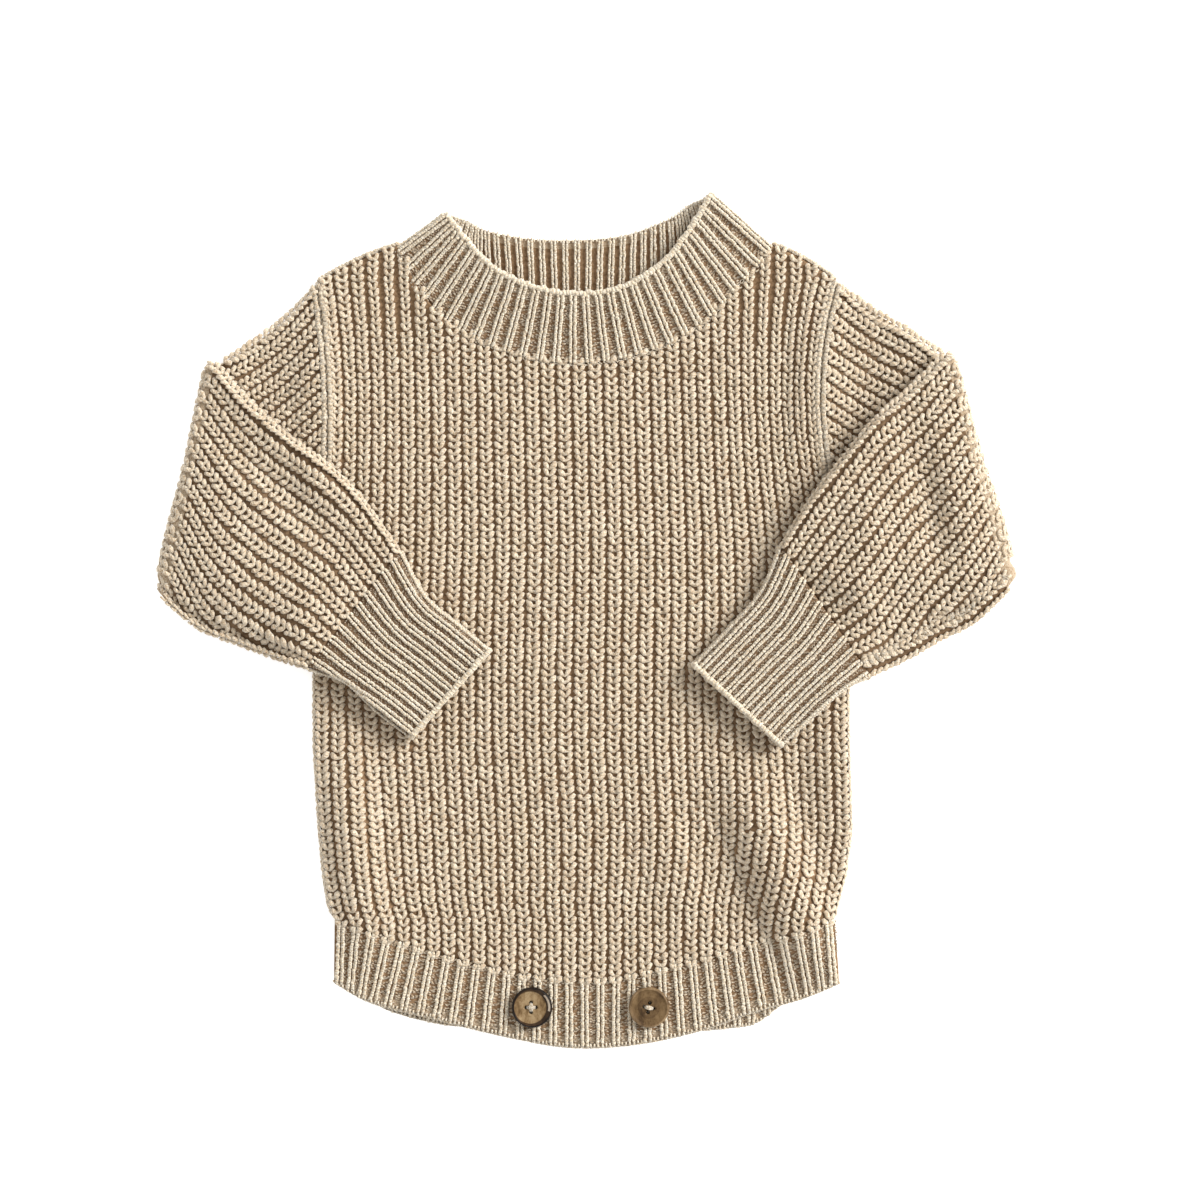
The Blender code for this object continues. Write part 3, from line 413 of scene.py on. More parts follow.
def front_place(rib, y, height):
    """A point over the front's shell, which turns down round the sides and shoulders."""
    x = panel_x(rib, y)
    z = FRONT_UNDER + SHELL + body_lift(x, y)
    left, right = side_x(y, "left") + ROLL, side_x(y, "right") - ROLL
    turn = ROLL + height
    if y < UNDERARM_Y and not left < x < right:
        edge, way = (left, -1.0) if x < left else (right, 1.0)
        angle = min(abs(x - edge) / ROLL, ROLL_MOST)
        return np.array((edge + way * turn * math.sin(angle), y, z - ROLL + turn * math.cos(angle)))
    past = y - (height_at(FRONT_EDGES[0], x) - ROLL)
    if past > 0 and beside_neck(x):
        angle = min(past / ROLL, ROLL_MOST)
        return np.array((x, y - past + turn * math.sin(angle), z - ROLL + turn * math.cos(angle)))
    return np.array((x, y, z + height))


# --- Sleeve shape ------------------------------------------------------------------------------
def stadium_point(walk, half_width, half_thick):
    """A point of a flat tube's section and the way out of it, a distance round it from its top end."""
    straight = 2 * (half_width - half_thick)
    quarter = math.pi / 2 * half_thick
    walk = walk % (2 * straight + 4 * quarter)
    if walk < quarter:
        angle = walk / half_thick
        centre = -half_width + half_thick
    elif walk < quarter + straight:
        return -half_width + half_thick + walk - quarter, -half_thick, 0.0, -1.0
    elif walk < 3 * quarter + straight:
        angle = math.pi / 2 + (walk - quarter - straight) / half_thick
        centre = half_width - half_thick
    elif walk < 3 * quarter + 2 * straight:
        return half_width - half_thick - (walk - 3 * quarter - straight), half_thick, 0.0, 1.0
    else:
        angle = 1.5 * math.pi + (walk - 3 * quarter - 2 * straight) / half_thick
        centre = -half_width + half_thick
    out_across, out_thick = -math.cos(angle), -math.sin(angle)
    return centre + half_thick * out_across, half_thick * out_thick, out_across, out_thick


def half_round(half_width, half_thick):
    """Half of the way round a flat tube's section."""
    return 2 * (half_width - half_thick) + math.pi * half_thick


def half_width_of(row):
    return math.hypot(row.low_x - row.top_x, row.low_y - row.top_y) / 2


class FlatTube:
    """A sleeve or cuff as a map from a way round it and a place along it to a point."""

    def __init__(self, rows, side, fold, half_thick, lying_folds, folds, strip):
        self.lying = [row for row in rows if row.turn == 0]
        self.over = [row for row in rows if row.turn == 180]
        self.side = side
        self.half_thick = half_thick
        self.lying_folds = lying_folds
        self.folds = folds
        self.strip = strip                       # width of the strip past the underarm crease
        self.way = 1.0 if side == "right" else -1.0
        along_x, along_y = fold.low_x - fold.top_x, fold.low_y - fold.top_y
        length = math.hypot(along_x, along_y)
        self.outward = (-self.way * along_y / length, self.way * along_x / length)
        self.fold_low = (fold.low_x, fold.low_y)
        self.start_over = len(self.lying)        # place where the part folded over starts
        self.end = self.start_over + len(self.over) - 1

    def section(self, along):
        """The section at a place along, which turns over between the two rows of the fold."""
        last = self.start_over - 1
        if along >= self.start_over:
            return Section(*smooth_row(self.over, along - self.start_over))
        if along <= last:
            return Section(*smooth_row(self.lying, along))
        row = Section(*self.over[0][1:])
        return row._replace(turn=180.0 * (along - last), loft=row.loft * ramp(along - last))

    def half_round_at(self, along):
        return half_round(half_width_of(self.section(along)), self.half_thick)

    def point(self, walk, along, depth):
        """A point the given depth inside the tube's face; walk starts at the top end, along the front."""
        row = self.section(along)
        half_width = half_width_of(row)
        across, thick, out_across, out_thick = stadium_point(walk, half_width, self.half_thick)
        lying = row.turn < STILL_LYING
        showing = max(-out_thick if lying else out_thick, 0.0)
        swell = row.loft * showing * (1.0 - (across / half_width) ** 2)
        if self.strip and not lying:
            half = half_round(half_width, self.half_thick)
            distance = -walk % (2 * half)
            depth += CREASE_DEPTH * bump((distance - half + self.strip) / CREASE_REACH)
        across -= out_across * depth
        thick += out_thick * (swell - depth)
        point = self.place(row, across, thick, half_width)
        if row.turn == 180:
            point[2] += folds_at(point[0], point[1], self.folds) * showing
        elif lying:
            lift = folds_at(point[0], point[1], self.lying_folds) * ramp(along / LYING_FADE)
            lift += folds_at(point[0], point[1], BODY_FOLDS)
            point[2] += lift * showing * ramp(1.0 - row.turn / STILL_LYING)
        return point

    def place(self, row, across, thick, half_width):
        """A point of a section's own flat shape, put where the section lies and turned with it."""
        angle = math.radians(row.turn)
        pull = FOLD_CORNER_PULL * math.sin(angle)
        share = (across + half_width) / (2 * half_width) * (1.0 - pull / (2 * half_width))
        x = mix(row.top_x, row.low_x, share) + row.bow * 4 * share * (1 - share)
        y = mix(row.top_y, row.low_y, share)
        swell = 1.0 + FOLD_SWELL * bump((share - FOLD_SWELL_AT) / FOLD_SWELL_REACH) * math.sin(angle)
        radius = (FOLD_RADIUS + thick * (1.0 - FOLD_SQUEEZE * math.sin(angle))) * swell
        x += self.outward[0] * radius * math.sin(angle)
        y += self.outward[1] * radius * math.sin(angle)
        z = FOLD_AXIS_Z - radius * math.cos(angle)
        if row.turn == 180:
            z += body_lift(x, y) - self.sag(x, y)
        share_up = clamp((thick + self.half_thick) / (2 * self.half_thick))
        return np.array((x, y, z + OVER_LIFT * share_up * ramp(row.turn / 180.0)))

    def sag(self, x, y):
        """How far the folded part sinks past the body's side and the lying sleeve's low edge."""
        under_x = ARMHOLES[self.side].under_x
        along_x, along_y = self.fold_low[0] - under_x, self.fold_low[1] - UNDERARM_Y
        below = ((x - under_x) * along_y - (y - UNDERARM_Y) * along_x) / math.hypot(along_x, along_y)
        beside = self.way * (x - side_x(min(y, UNDERARM_Y), self.side))
        return SAG_DEPTH * ramp(self.way * below / SAG_REACH) * ramp(beside / SAG_REACH)


# --- Yarn --------------------------------------------------------------------------------------
FLATTENED = 0.7             # a strand's thickness over its width
Template = namedtuple("Template", "corners quads uvs")
Frames = namedtuple("Frames", "at across along out wide tall")


def yarn(path, radii, sides=6, beside=None):
    """A closed, slightly flattened tube of yarn along (across, along, out) points, in millimetres."""
    path, radii = np.array(path, float), np.array(radii, float)
    count = len(path)
    way = np.gradient(path, axis=0)
    way /= np.linalg.norm(way, axis=1)[:, None]
    flat = np.cross(way, (0.0, 0.0, 1.0)) if beside is None else np.array([beside] * count, float)
    flat /= np.linalg.norm(flat, axis=1)[:, None]
    up = np.cross(flat, way)
    walked = distances(path)
    corners, quads, uvs = [], [], []
    for k in range(count):
        for side in range(sides):
            angle = 2 * math.pi * (side + 0.5) / sides
            rise = math.sin(angle) * FLATTENED
            corners.append(path[k] + radii[k] * (math.cos(angle) * flat[k] + rise * up[k]))
    for k in range(count - 1):
        for side in range(sides):
            here, after = k * sides + side, k * sides + (side + 1) % sides
            quads.append((here, after, after + sides, here + sides))
            u0, u1 = side / sides, (side + 1) / sides
            uvs.append(((u0, walked[k]), (u1, walked[k]), (u1, walked[k + 1]), (u0, walked[k + 1])))
    for start, order in ((0, -1), ((count - 1) * sides, 1)):
        for first in range(0, sides - 2, 2):
            cap = [start, start + first + 1, start + first + 2, start + (first + 3) % sides]
            quads.append(tuple(cap[::order]))
            uvs.append(((0.0, 0.0),) * 4)
    return Template(np.array(corners), np.array(quads), np.array(uvs))


def together(*parts):
    """Several templates as one."""
    starts = np.cumsum([0] + [len(part.corners) for part in parts])
    return Template(np.concatenate([part.corners for part in parts]),
                    np.concatenate([part.quads + start for part, start in zip(parts, starts)]),
                    np.concatenate([part.uvs for part in parts]))


def mirrored(path):
    return [(-across, along, out) for across, along, out in reversed(path)]


def varied(paths_and_radii, sides, seed, count=6, shake=0.16):
    """Several versions of a stitch, each with its points moved a little."""
    random = np.random.default_rng(seed)
    versions = []
    for _ in range(count):
        tubes = []
        for path, radii in paths_and_radii:
            moved = np.array(path, float) + random.normal(0.0, shake, (len(path), 3)) * (1.0, 1.0, 0.6)
            thick = np.array(radii) * (1.0 + random.normal(0.0, shake * 0.4, len(radii)))
            tubes.append(yarn(moved, thick, sides))
        versions.append(together(*tubes))
    return versions


def lay(versions, rows, seed, wobble=0.05):
    """A stitch laid at every frame, as arrays, each copy a little different.

    The rows are (at, across, along, out, wide, tall).
    """
    frames = Frames(*[np.array(column, float) for column in zip(*rows)])
    count = len(frames.at)
    random = np.random.default_rng(seed)
    turn = random.normal(0.0, wobble, count)
    across = frames.across * np.cos(turn)[:, None] + frames.along * np.sin(turn)[:, None]
    along = frames.along * np.cos(turn)[:, None] - frames.across * np.sin(turn)[:, None]
    size = 1.0 + random.normal(0.0, wobble * 0.6, (count, 2))
    shift = random.normal(0.0, wobble * 1.6, (count, 2))
    choice = random.integers(0, len(versions), count)
    part = np.stack([version.corners for version in versions])[choice]
    first = versions[0]
    corners = frames.at[:, None, :]
    for k, (way, stretch) in enumerate(((across, frames.wide), (along, frames.tall))):
        reach = part[..., k:k + 1] * (stretch * size[:, k])[:, None, None] + shift[:, k][:, None, None]
        corners = corners + way[:, None, :] * reach
    corners = corners + frames.out[:, None, :] * part[..., 2:3]
    quads = first.quads[None] + (np.arange(count) * len(first.corners))[:, None, None]
    uvs = np.repeat(first.uvs[None], count, axis=0)
    uvs[..., 1] += random.uniform(0.0, 400.0, count)[:, None, None]
    return Template(corners.reshape(-1, 3), quads.reshape(-1, 4), uvs.reshape(-1, 4, 2))


def put(name, data):
    made = bpy.data.objects.new(name, data)
    bpy.context.collection.objects.link(made)
    return made


def mesh_object(name, part, finish, painted_shade_from=None):
    """A mesh of quads; those from the given index on are purls between ribs, in a darker copy of the yarn
    with painted shade.
    """
    mesh = bpy.data.meshes.new(name)
    mesh.vertices.add(len(part.corners))
    corners = np.maximum(part.corners, (-np.inf, -np.inf, LOWEST)) * MM
    mesh.vertices.foreach_set("co", corners.astype(np.float32).ravel())
    mesh.loops.add(part.quads.size)
    mesh.loops.foreach_set("vertex_index", part.quads.astype(np.int32).ravel())
    mesh.polygons.add(len(part.quads))
    mesh.polygons.foreach_set("loop_start", np.arange(0, part.quads.size, 4, dtype=np.int32))
    mesh.polygons.foreach_set("use_smooth", np.full(len(part.quads), True))
    if part.uvs is not None:
        layer = mesh.uv_layers.new(name="yarn")
        layer.data.foreach_set("uv", part.uvs.astype(np.float32).ravel())
    mesh.materials.append(finish)
    if painted_shade_from is not None:
        mesh.materials.append(PAINTED_SHADE_PURL_KNIT)
        painted_shade_part = (np.arange(len(part.quads)) >= painted_shade_from).astype(np.int32)
        mesh.polygons.foreach_set("material_index", painted_shade_part)
    mesh.update(calc_edges=True)
    return put(name, mesh)


# --- Stitch shapes -----------------------------------------------------------------------------
# Across, along and out in millimetres, for a rib 7.73 wide and rows 3.4 apart.
RIB_WIDTH = 7.73
ROW = 3.4
LEG = [(0.0, 0.0, 0.6), (1.1, 0.35, 1.0), (1.95, 1.5, 1.1), (2.45, 2.95, 0.3)]
LEG_RADII = [0.88, 1.1, 1.36, 1.05]
CHUNKY = varied([(mirrored(LEG) + LEG[1:], LEG_RADII[::-1] + LEG_RADII[1:])], 6, 3, count=8, shake=0.24)

# The fine ribs of the bands and cuffs: two columns of steep legs, and low arches between ribs.
BAND_ROW = 1.3
COLUMN_WIDTH = 3.7          # what the two columns of a fine rib take up
FINE_LEG = [(0.7, -0.6, 0.45), (1.2, 0.4, 0.95), (1.55, 1.45, 0.5)]
FINE_RADII = [0.75, 1.15, 0.85]
FINE = varied([(FINE_LEG, FINE_RADII), (mirrored(FINE_LEG), FINE_RADII[::-1])], 4, 4, count=10)
PURL = varied([([(-0.85, -0.3, -0.2), (-0.15, 0.2, 0.15)], [0.42, 0.5]),
               ([(0.2, 0.65, 0.15), (0.85, 0.25, -0.2)], [0.5, 0.42])], 4, 5, count=12, shake=0.2)
END_LEG = [(1.15, -0.5, 0.75), (1.15, 0.55, 0.6), (1.12, 1.15, -0.35), (1.1, 1.15, -1.5)]
END = [together(*[yarn([(way * a, b, c) for a, b, c in END_LEG], [0.6, 0.78, 0.78, 0.6], 4, (1.0, 0.0, 0.0))
                  for way in (1, -1)])]
RIM = varied([([(-0.5, -1.4, 0.0), (0.0, 0.0, 0.4), (0.5, 1.4, 0.0)], [1.1, 1.55, 1.1])], 6, 6)
EDGE = varied([([(-0.3, -1.2, -0.1), (0.0, 0.0, 0.3), (0.3, 1.2, -0.1)], [0.75, 1.05, 0.75])], 4, 8,
              shake=0.1)
LINK_LEG = [(0.0, 0.0, 0.3), (0.75, 0.7, 0.6), (0.9, 2.3, 0.0)]
LINK = varied([(mirrored(LINK_LEG) + LINK_LEG[1:], [0.35, 0.5, 0.5, 0.5, 0.35])], 4, 7, shake=0.1)


# --- Finishes ----------------------------------------------------------------------------------
class Finish:
    """A material in the making."""

    def __init__(self, name):
        self.made = bpy.data.materials.new(name)
        self.made.use_nodes = True

    def fill(self, node, inputs):
        """Links the inputs that come from another node and sets the others."""
        for name, value in inputs.items():
            if isinstance(value, bpy.types.NodeSocket):
                self.made.node_tree.links.new(value, node.inputs[name])
            else:
                node.inputs[name].default_value = value
        return node

    def add(self, kind, inputs={}, **settings):
        node = self.made.node_tree.nodes.new("ShaderNode" + kind)
        for name, value in settings.items():
            setattr(node, name, value)
        return self.fill(node, inputs)

    def place(self):
        return self.add("TexCoord").outputs["Object"]

    def noise(self, place, scale, detail=2.0, roughness=0.5):
        return self.add("TexNoise", {"Scale": scale, "Detail": detail, "Roughness": roughness,
                                     "Vector": place}).outputs["Fac"]

    def ramp(self, value, *stops):
        node = self.add("ValToRGB", {"Fac": value})
        elements = node.color_ramp.elements
        while len(elements) < len(stops):
            elements.new(0.5)
        for element, (place, colour) in zip(elements, stops):
            element.position = place
            element.color = (*colour, 1.0)
        return node.outputs["Color"]

    def mapping(self, place, scale, turn=0.0):
        return self.add("Mapping", {"Scale": scale, "Rotation": (0.0, 0.0, turn),
                                    "Vector": place}).outputs["Vector"]

    def multiply(self, factor, a, b):
        return self.add("Mix", {"Factor": factor, "A": a, "B": b}, data_type="RGBA",
                        blend_type="MULTIPLY").outputs["Result"]

    def bump(self, height, strength, distance, below=None):
        inputs = {"Strength": strength, "Distance": distance, "Height": height}
        if below is not None:
            inputs["Normal"] = below
        return self.add("Bump", inputs).outputs["Normal"]

    def done(self, inputs):
        self.fill(self.made.node_tree.nodes["Principled BSDF"], inputs)
        return self.made


WHITE = (1.0, 1.0, 1.0)


def yarn_finish(name, light, middle, dark):
    """Heathered yarn: stitches of two shades, flecks of darker fibre, twisted plies with painted shade in
    the grooves between them, and a soft nap.
    """
    finish = Finish(name)
    uv = finish.add("UVMap", uv_map="yarn").outputs["UV"]
    each = finish.noise(finish.mapping(uv, (0.5, 0.09, 1.0)), 1.0)
    fleck = finish.noise(finish.place(), 1300.0, 2.0, 0.6)
    colour = finish.multiply(0.7, finish.ramp(each, (0.36, middle), (0.60, light)),
                             finish.ramp(fleck, (0.38, dark), (0.54, WHITE)))
    plies_and_groove_shade = finish.add("TexWave", {"Scale": 2.6 / math.pi, "Distortion": 0.8, "Detail": 1.0,
                                   "Vector": finish.mapping(uv, (2.0, 0.55, 1.0))},
                       bands_direction="DIAGONAL").outputs["Fac"]
    # Painted shade: the grooves between the plies are darkened toward the dark colour.
    colour = finish.multiply(0.22, colour, finish.ramp(plies_and_groove_shade, (0.0, dark), (0.5, WHITE)))
    relief = finish.bump(fleck, 0.5, 0.0002, finish.bump(plies_and_groove_shade, 0.6, 0.0003))
    return finish.done({
        "Base Color": colour, "Roughness": 0.92, "Specular IOR Level": 0.08, "Sheen Weight": 0.25,
        "Sheen Roughness": 0.5, "Subsurface Weight": 0.5, "Subsurface Radius": (1.0, 0.94, 0.86),
        "Subsurface Scale": 0.002, "Normal": relief})


def shade_ground_finish(name, light, dark):
    """The cloth between and behind the stitches, a dark brown of painted shade for the yarn's deeper
    crossings.
    """
    finish = Finish(name)
    grain = finish.noise(finish.place(), 600.0, 3.0, 0.6)
    return finish.done({"Base Color": finish.ramp(grain, (0.35, dark), (0.65, light)), "Roughness": 0.95,
                        "Specular IOR Level": 0.1, "Normal": finish.bump(grain, 0.7, 0.0005)})


def horn_finish(name, light, middle, dark, roughness, specular):
    """Streaked and speckled brown horn."""
    finish = Finish(name)
    place = finish.place()
    grain = finish.noise(finish.mapping(place, (1.0, 0.4, 1.0), 0.7), 260.0, 4.0, 0.62)
    colour = finish.ramp(grain, (0.36, dark), (0.47, middle), (0.62, light))
    speckled = finish.ramp(finish.noise(place, 1300.0), (0.34, (0.72, 0.66, 0.58)), (0.5, WHITE))
    return finish.done({
        "Base Color": finish.multiply(0.7, colour, speckled), "Roughness": roughness,
        "Specular IOR Level": specular, "Coat Weight": 0.05, "Coat Roughness": 0.25,
        "Normal": finish.bump(grain, 0.12, 0.0003)})


# A yarn's dark colour serves both its real flecks and the painted shade in its ply grooves.
FLECK_AND_PLY_SHADE = (0.62, 0.49, 0.36)
# Flecks and ply grooves of the darker copies of the yarn, painted shade.
PAINTED_SHADE_FLECK = (0.5, 0.38, 0.27)
KNIT = yarn_finish("oatmeal_yarn", (0.69, 0.605, 0.48), (0.58, 0.49, 0.37), FLECK_AND_PLY_SHADE)
# Paler copy of the yarn: painted light for the raised columns of the fine ribs and the rolled rims; the
# button threads take it too.
PAINTED_LIGHT_KNIT = yarn_finish("oatmeal_edge_yarn", (0.83, 0.735, 0.585), (0.73, 0.63, 0.485),
                        (0.66, 0.53, 0.395))
# Darker copy of the yarn: painted shade for the back's shell, the bands' round edges and walls, and the
# sleeves' shells where folded over and round their top edges.
PAINTED_SHADE_FOLD_KNIT = yarn_finish("oatmeal_fold_yarn", (0.57, 0.48, 0.36), (0.42, 0.33, 0.23), PAINTED_SHADE_FLECK)
# Darker copy of the yarn: painted shade for the purls in the valleys between fine ribs.
PAINTED_SHADE_PURL_KNIT = yarn_finish("oatmeal_deep_yarn", (0.64, 0.54, 0.41), (0.45, 0.345, 0.235), PAINTED_SHADE_FLECK)
# Grounds: painted shade, a dark brown for the cloth seen in the gaps between stitches; the sleeves' ground
# is darker still.
PAINTED_SHADE_GROUND = shade_ground_finish("oatmeal_ground", (0.31, 0.20, 0.115), (0.16, 0.098, 0.052))
PAINTED_SHADE_SLEEVE_GROUND = shade_ground_finish("oatmeal_sleeve_ground", (0.21, 0.135, 0.078), (0.11, 0.068, 0.037))


# --- Frames along ribs -------------------------------------------------------------------------
def unit(vector):
    return vector / np.linalg.norm(vector)


def frame_at(place, rib, along, rib_step, along_step, flip, wide, tall, fitted=False):
    """at, across, along, out, wide and tall of a stitch where place(rib, along, height) lies.

    A fitted stitch is as wide as the rib is there, times wide.
    """
    at = place(rib, along, 0.0)
    way = place(rib, along + along_step, 0.0) - place(rib, along - along_step, 0.0)
    beside = place(rib + rib_step, along, 0.0) - place(rib - rib_step, along, 0.0)
    way = unit(way) * flip
    out = unit(np.cross(beside, way))
    if np.dot(out, place(rib, along, 1.0) - at) < 0:
        out = -out
    across = unit(np.cross(way, out))
    if fitted:
        wide *= abs(np.dot(beside, across)) / (2 * rib_step * RIB_WIDTH)
    return at, across, way, out, wide, tall


def pressed(frame, share=1.0):
    """A stitch where the cloth is folded sharply: flatter, and closer to its neighbours."""
    at, across, along, out, wide, tall = frame
    return (at - out * 0.1 * share, across, along, out * (1.0 - 0.38 * share),
            wide * (1.0 + 0.14 * share), tall * (1.0 + 0.15 * share))


def walk_rib(place, rib, start, end, row, samples=60, offset=0.5):
    """Places along a rib, one for each row of stitches."""
    spots = np.linspace(start, end, samples)
    walked = distances(np.array([place(rib, spot, 0.0) for spot in spots]))
    return np.interp(np.arange(offset * row, walked[-1], row), walked, spots)


def edge_path_frames(points, outs, spacing):
    """Frames at even spacing along a line of points, with a direction out of it at each point."""
    points, outs = np.array(points), np.array(outs)
    walked = distances(points)

    def between(values, target):
        return np.array([np.interp(target, walked, values[:, k]) for k in range(3)])

    rows = []
    for target in np.arange(spacing / 2, walked[-1], spacing):
        at = between(points, target)
        way = unit(between(points, min(target + 0.4, walked[-1])) - at)
        out = unit(between(outs, target))
        out = unit(out - way * np.dot(out, way))
        rows.append((at, np.cross(way, out), way, out, 1.0, 1.0))
    return rows


# --- Shells ------------------------------------------------------------------------------------
def shell_object(name, outer, inner, finish, ring=False):
    """A closed wall between two grids of points with the same rows and columns."""
    outer, inner = np.array(outer), np.array(inner)
    rows, columns = outer.shape[:2]
    number = np.arange(rows * columns).reshape(rows, columns)
    under = number + rows * columns
    quads = []
    for grid in (number, under[::-1], np.stack((under[0], number[0])), np.stack((number[-1], under[-1]))):
        ahead = np.roll(grid, -1, axis=1) if ring else grid[:, 1:]
        here = grid if ring else grid[:, :-1]
        quads.append(np.stack((here[:-1], ahead[:-1], ahead[1:], here[1:]), axis=-1).reshape(-1, 4))
    if not ring:
        for over, below in ((number[:, 0], under[:, 0]), (under[:, -1], number[:, -1])):
            quads.append(np.stack((over[1:], below[1:], below[:-1], over[:-1]), axis=-1))
    corners = np.concatenate((outer.reshape(-1, 3), inner.reshape(-1, 3)))
    made = mesh_object(name, Template(corners, np.concatenate(quads), None), finish)
    mesh = bmesh.new()
    mesh.from_mesh(made.data)
    bmesh.ops.recalc_face_normals(mesh, faces=mesh.faces)
    mesh.to_mesh(made.data)
    mesh.free()
    return made


# --- Front and back ----------------------------------------------------------------------------
PANEL_LEVELS = 60
RELIEF = 0.35               # how far the front's shell dips between ribs


def panel_point(rib, level, edges):
    """A place on a panel: a share of the way up a rib from the hem to the top edge."""
    x = panel_x(rib, 0.0)
    for _ in range(4):
        y = mix(height_at(edges[1], x), height_at(edges[0], x), level)
        x = panel_x(rib, y)
    return x, y


def panel_shell(name, edges, walls, finish):
    """A panel's shell, with closer points near its top edge and sides."""
    near_side = [0.1, 0.2, 0.32]
    ribs = [0.0] + near_side + [k / 4 for k in range(2, BODY_RIBS * 4 - 1)]
    ribs += [BODY_RIBS - spot for spot in reversed(near_side)] + [BODY_RIBS]
    levels = [k / PANEL_LEVELS for k in range(PANEL_LEVELS)]
    levels += [1.0 - step / 330.0 for step in (2.4, 1.6, 0.8)] + [1.0]
    grid = [[walls(rib, *panel_point(rib, level, edges)) for rib in ribs] for level in levels]
    return shell_object(name, *[[[pair[k] for pair in row] for row in grid] for k in (0, 1)], finish)


def front_walls(rib, x, y):
    over = front_place(rib, y, 0.0)
    over[2] -= RELIEF * (1.0 + math.cos(2 * math.pi * rib)) / 2
    return over, (over[0], over[1], FRONT_UNDER + body_lift(x, y))


def back_walls(rib, x, y):
    return (x, y, BACK_TOP), (x, y, BACK_SHELL_Z)


def outline_of(rows):
    """The outline of a sleeve's or cuff's folded part, seen from above."""
    over = [row for row in rows if row.turn == 180]
    sections = [Section(*smooth_row(over, k / 4)) for k in range((len(over) - 1) * 4 + 1)]
    return ([(row.top_x, row.top_y) for row in sections]
            + [(row.low_x, row.low_y) for row in reversed(sections)])


def depth_inside(outline, x, y):
    """How far inside an outline a point lies, negative outside."""
    inside, nearest = False, math.inf
    for (x0, y0), (x1, y1) in zip(outline, outline[1:] + outline[:1]):
        if (y0 > y) != (y1 > y) and x < x0 + (x1 - x0) * (y - y0) / (y1 - y0):
            inside = not inside
        length = (x1 - x0) ** 2 + (y1 - y0) ** 2
        t = clamp(((x - x0) * (x1 - x0) + (y - y0) * (y1 - y0)) / max(length, 1e-9))
        nearest = min(nearest, math.hypot(x - x0 - (x1 - x0) * t, y - y0 - (y1 - y0) * t))
    return nearest if inside else -nearest


HIDDEN_DEPTH = 9.0          # stitches this far inside a folded sleeve's outline don't show
COVERS = [outline_of(rows) for rows in (SLEEVE_LEFT, CUFF_LEFT, SLEEVE_RIGHT, CUFF_RIGHT)]


def covered(x, y):
    return any(depth_inside(outline, x, y) > HIDDEN_DEPTH for outline in COVERS)


EASED_ROWS = 6


def courses(low, high):
    """Heights of a rib's stitches: level courses in the middle, eased to both ends of the rib."""
    first = math.ceil(low / ROW + EASED_ROWS)
    last = math.floor(high / ROW - EASED_ROWS)
    if last <= first:
        return np.linspace(low, high, max(round((high - low) / ROW), 1) + 1)
    below = np.linspace(low, first * ROW, round(first - low / ROW) + 1)[:-1]
    above = np.linspace(last * ROW, high, round(high / ROW - last) + 1)[1:]
    return np.concatenate((below, np.arange(first, last + 1) * ROW, above))


DRAWN_SPOTS = ((-94.0, 158.0), (90.0, 158.0))    # ribs draw together here, beside the neckband
DRAWN_WIDE, DRAWN_TALL = 26.0, 34.0              # half the width and height of that area
DRAWN_IN = 0.3                                   # by this share of a rib's width, at most
FRONT_WIDTH = 1.03                               # a stitch of the front over the width of its rib
SIDE_RIBS = (-0.1, BODY_RIBS + 0.1)              # half ribs that turn down round the sides
PRESSED_REACH = 3.2                              # stitches this near a shoulder's edge are pressed
SHOULDER_TURN = 0.8


def front_rows():
    """Frames of the front's stitches, the left half and the right half."""
    halves = [], []
    for index in range(BODY_RIBS):
        rib = index + 0.5
        low = panel_point(rib, 0.0, FRONT_EDGES)[1]
        top_x, high = panel_point(rib, 1.0, FRONT_EDGES)
        high += 0.2 if beside_neck(top_x) else -1.4
        for y in courses(low - 0.9, high):
            x = panel_x(rib, y)
            if covered(x, y):
                continue
            drawn = sum(bump(math.hypot((x - spot_x) / DRAWN_WIDE, (y - spot_y) / DRAWN_TALL))
                        for spot_x, spot_y in DRAWN_SPOTS)
            wide = FRONT_WIDTH - DRAWN_IN * drawn
            frame = frame_at(front_place, rib, y, 0.1, 0.5, 1.0, wide, 1.0, fitted=True)
            if beside_neck(x) and y > high - PRESSED_REACH:
                frame = pressed(frame)
            halves[index > BODY_RIBS // 2].append(frame)
    for half, rib in enumerate(SIDE_RIBS):
        for y in np.arange(-145.0, UNDERARM_Y, ROW):
            if not covered(panel_x(rib, y), y):
                halves[half].append(pressed(frame_at(front_place, rib, y, 0.05, 0.5, 1.0, 0.75, 1.0)))
    return halves


def shoulder_seams():
    """Frames of the linking stitches down the back of each shoulder."""
    seams = []
    for way in (-1.0, 1.0):
        points, outs = [], []
        for step in range(BODY_RIBS * 4 + 1):
            rib = step / 4
            x, y = panel_point(rib, 1.0, FRONT_EDGES)
            if x * way > 0 and beside_neck(x):
                points.append(front_place(rib, y + SHOULDER_TURN, 0.4))
                outs.append(front_place(rib, y + SHOULDER_TURN, 1.4) - points[-1])
        seams.append(edge_path_frames(points, outs, 1.9))
    return seams


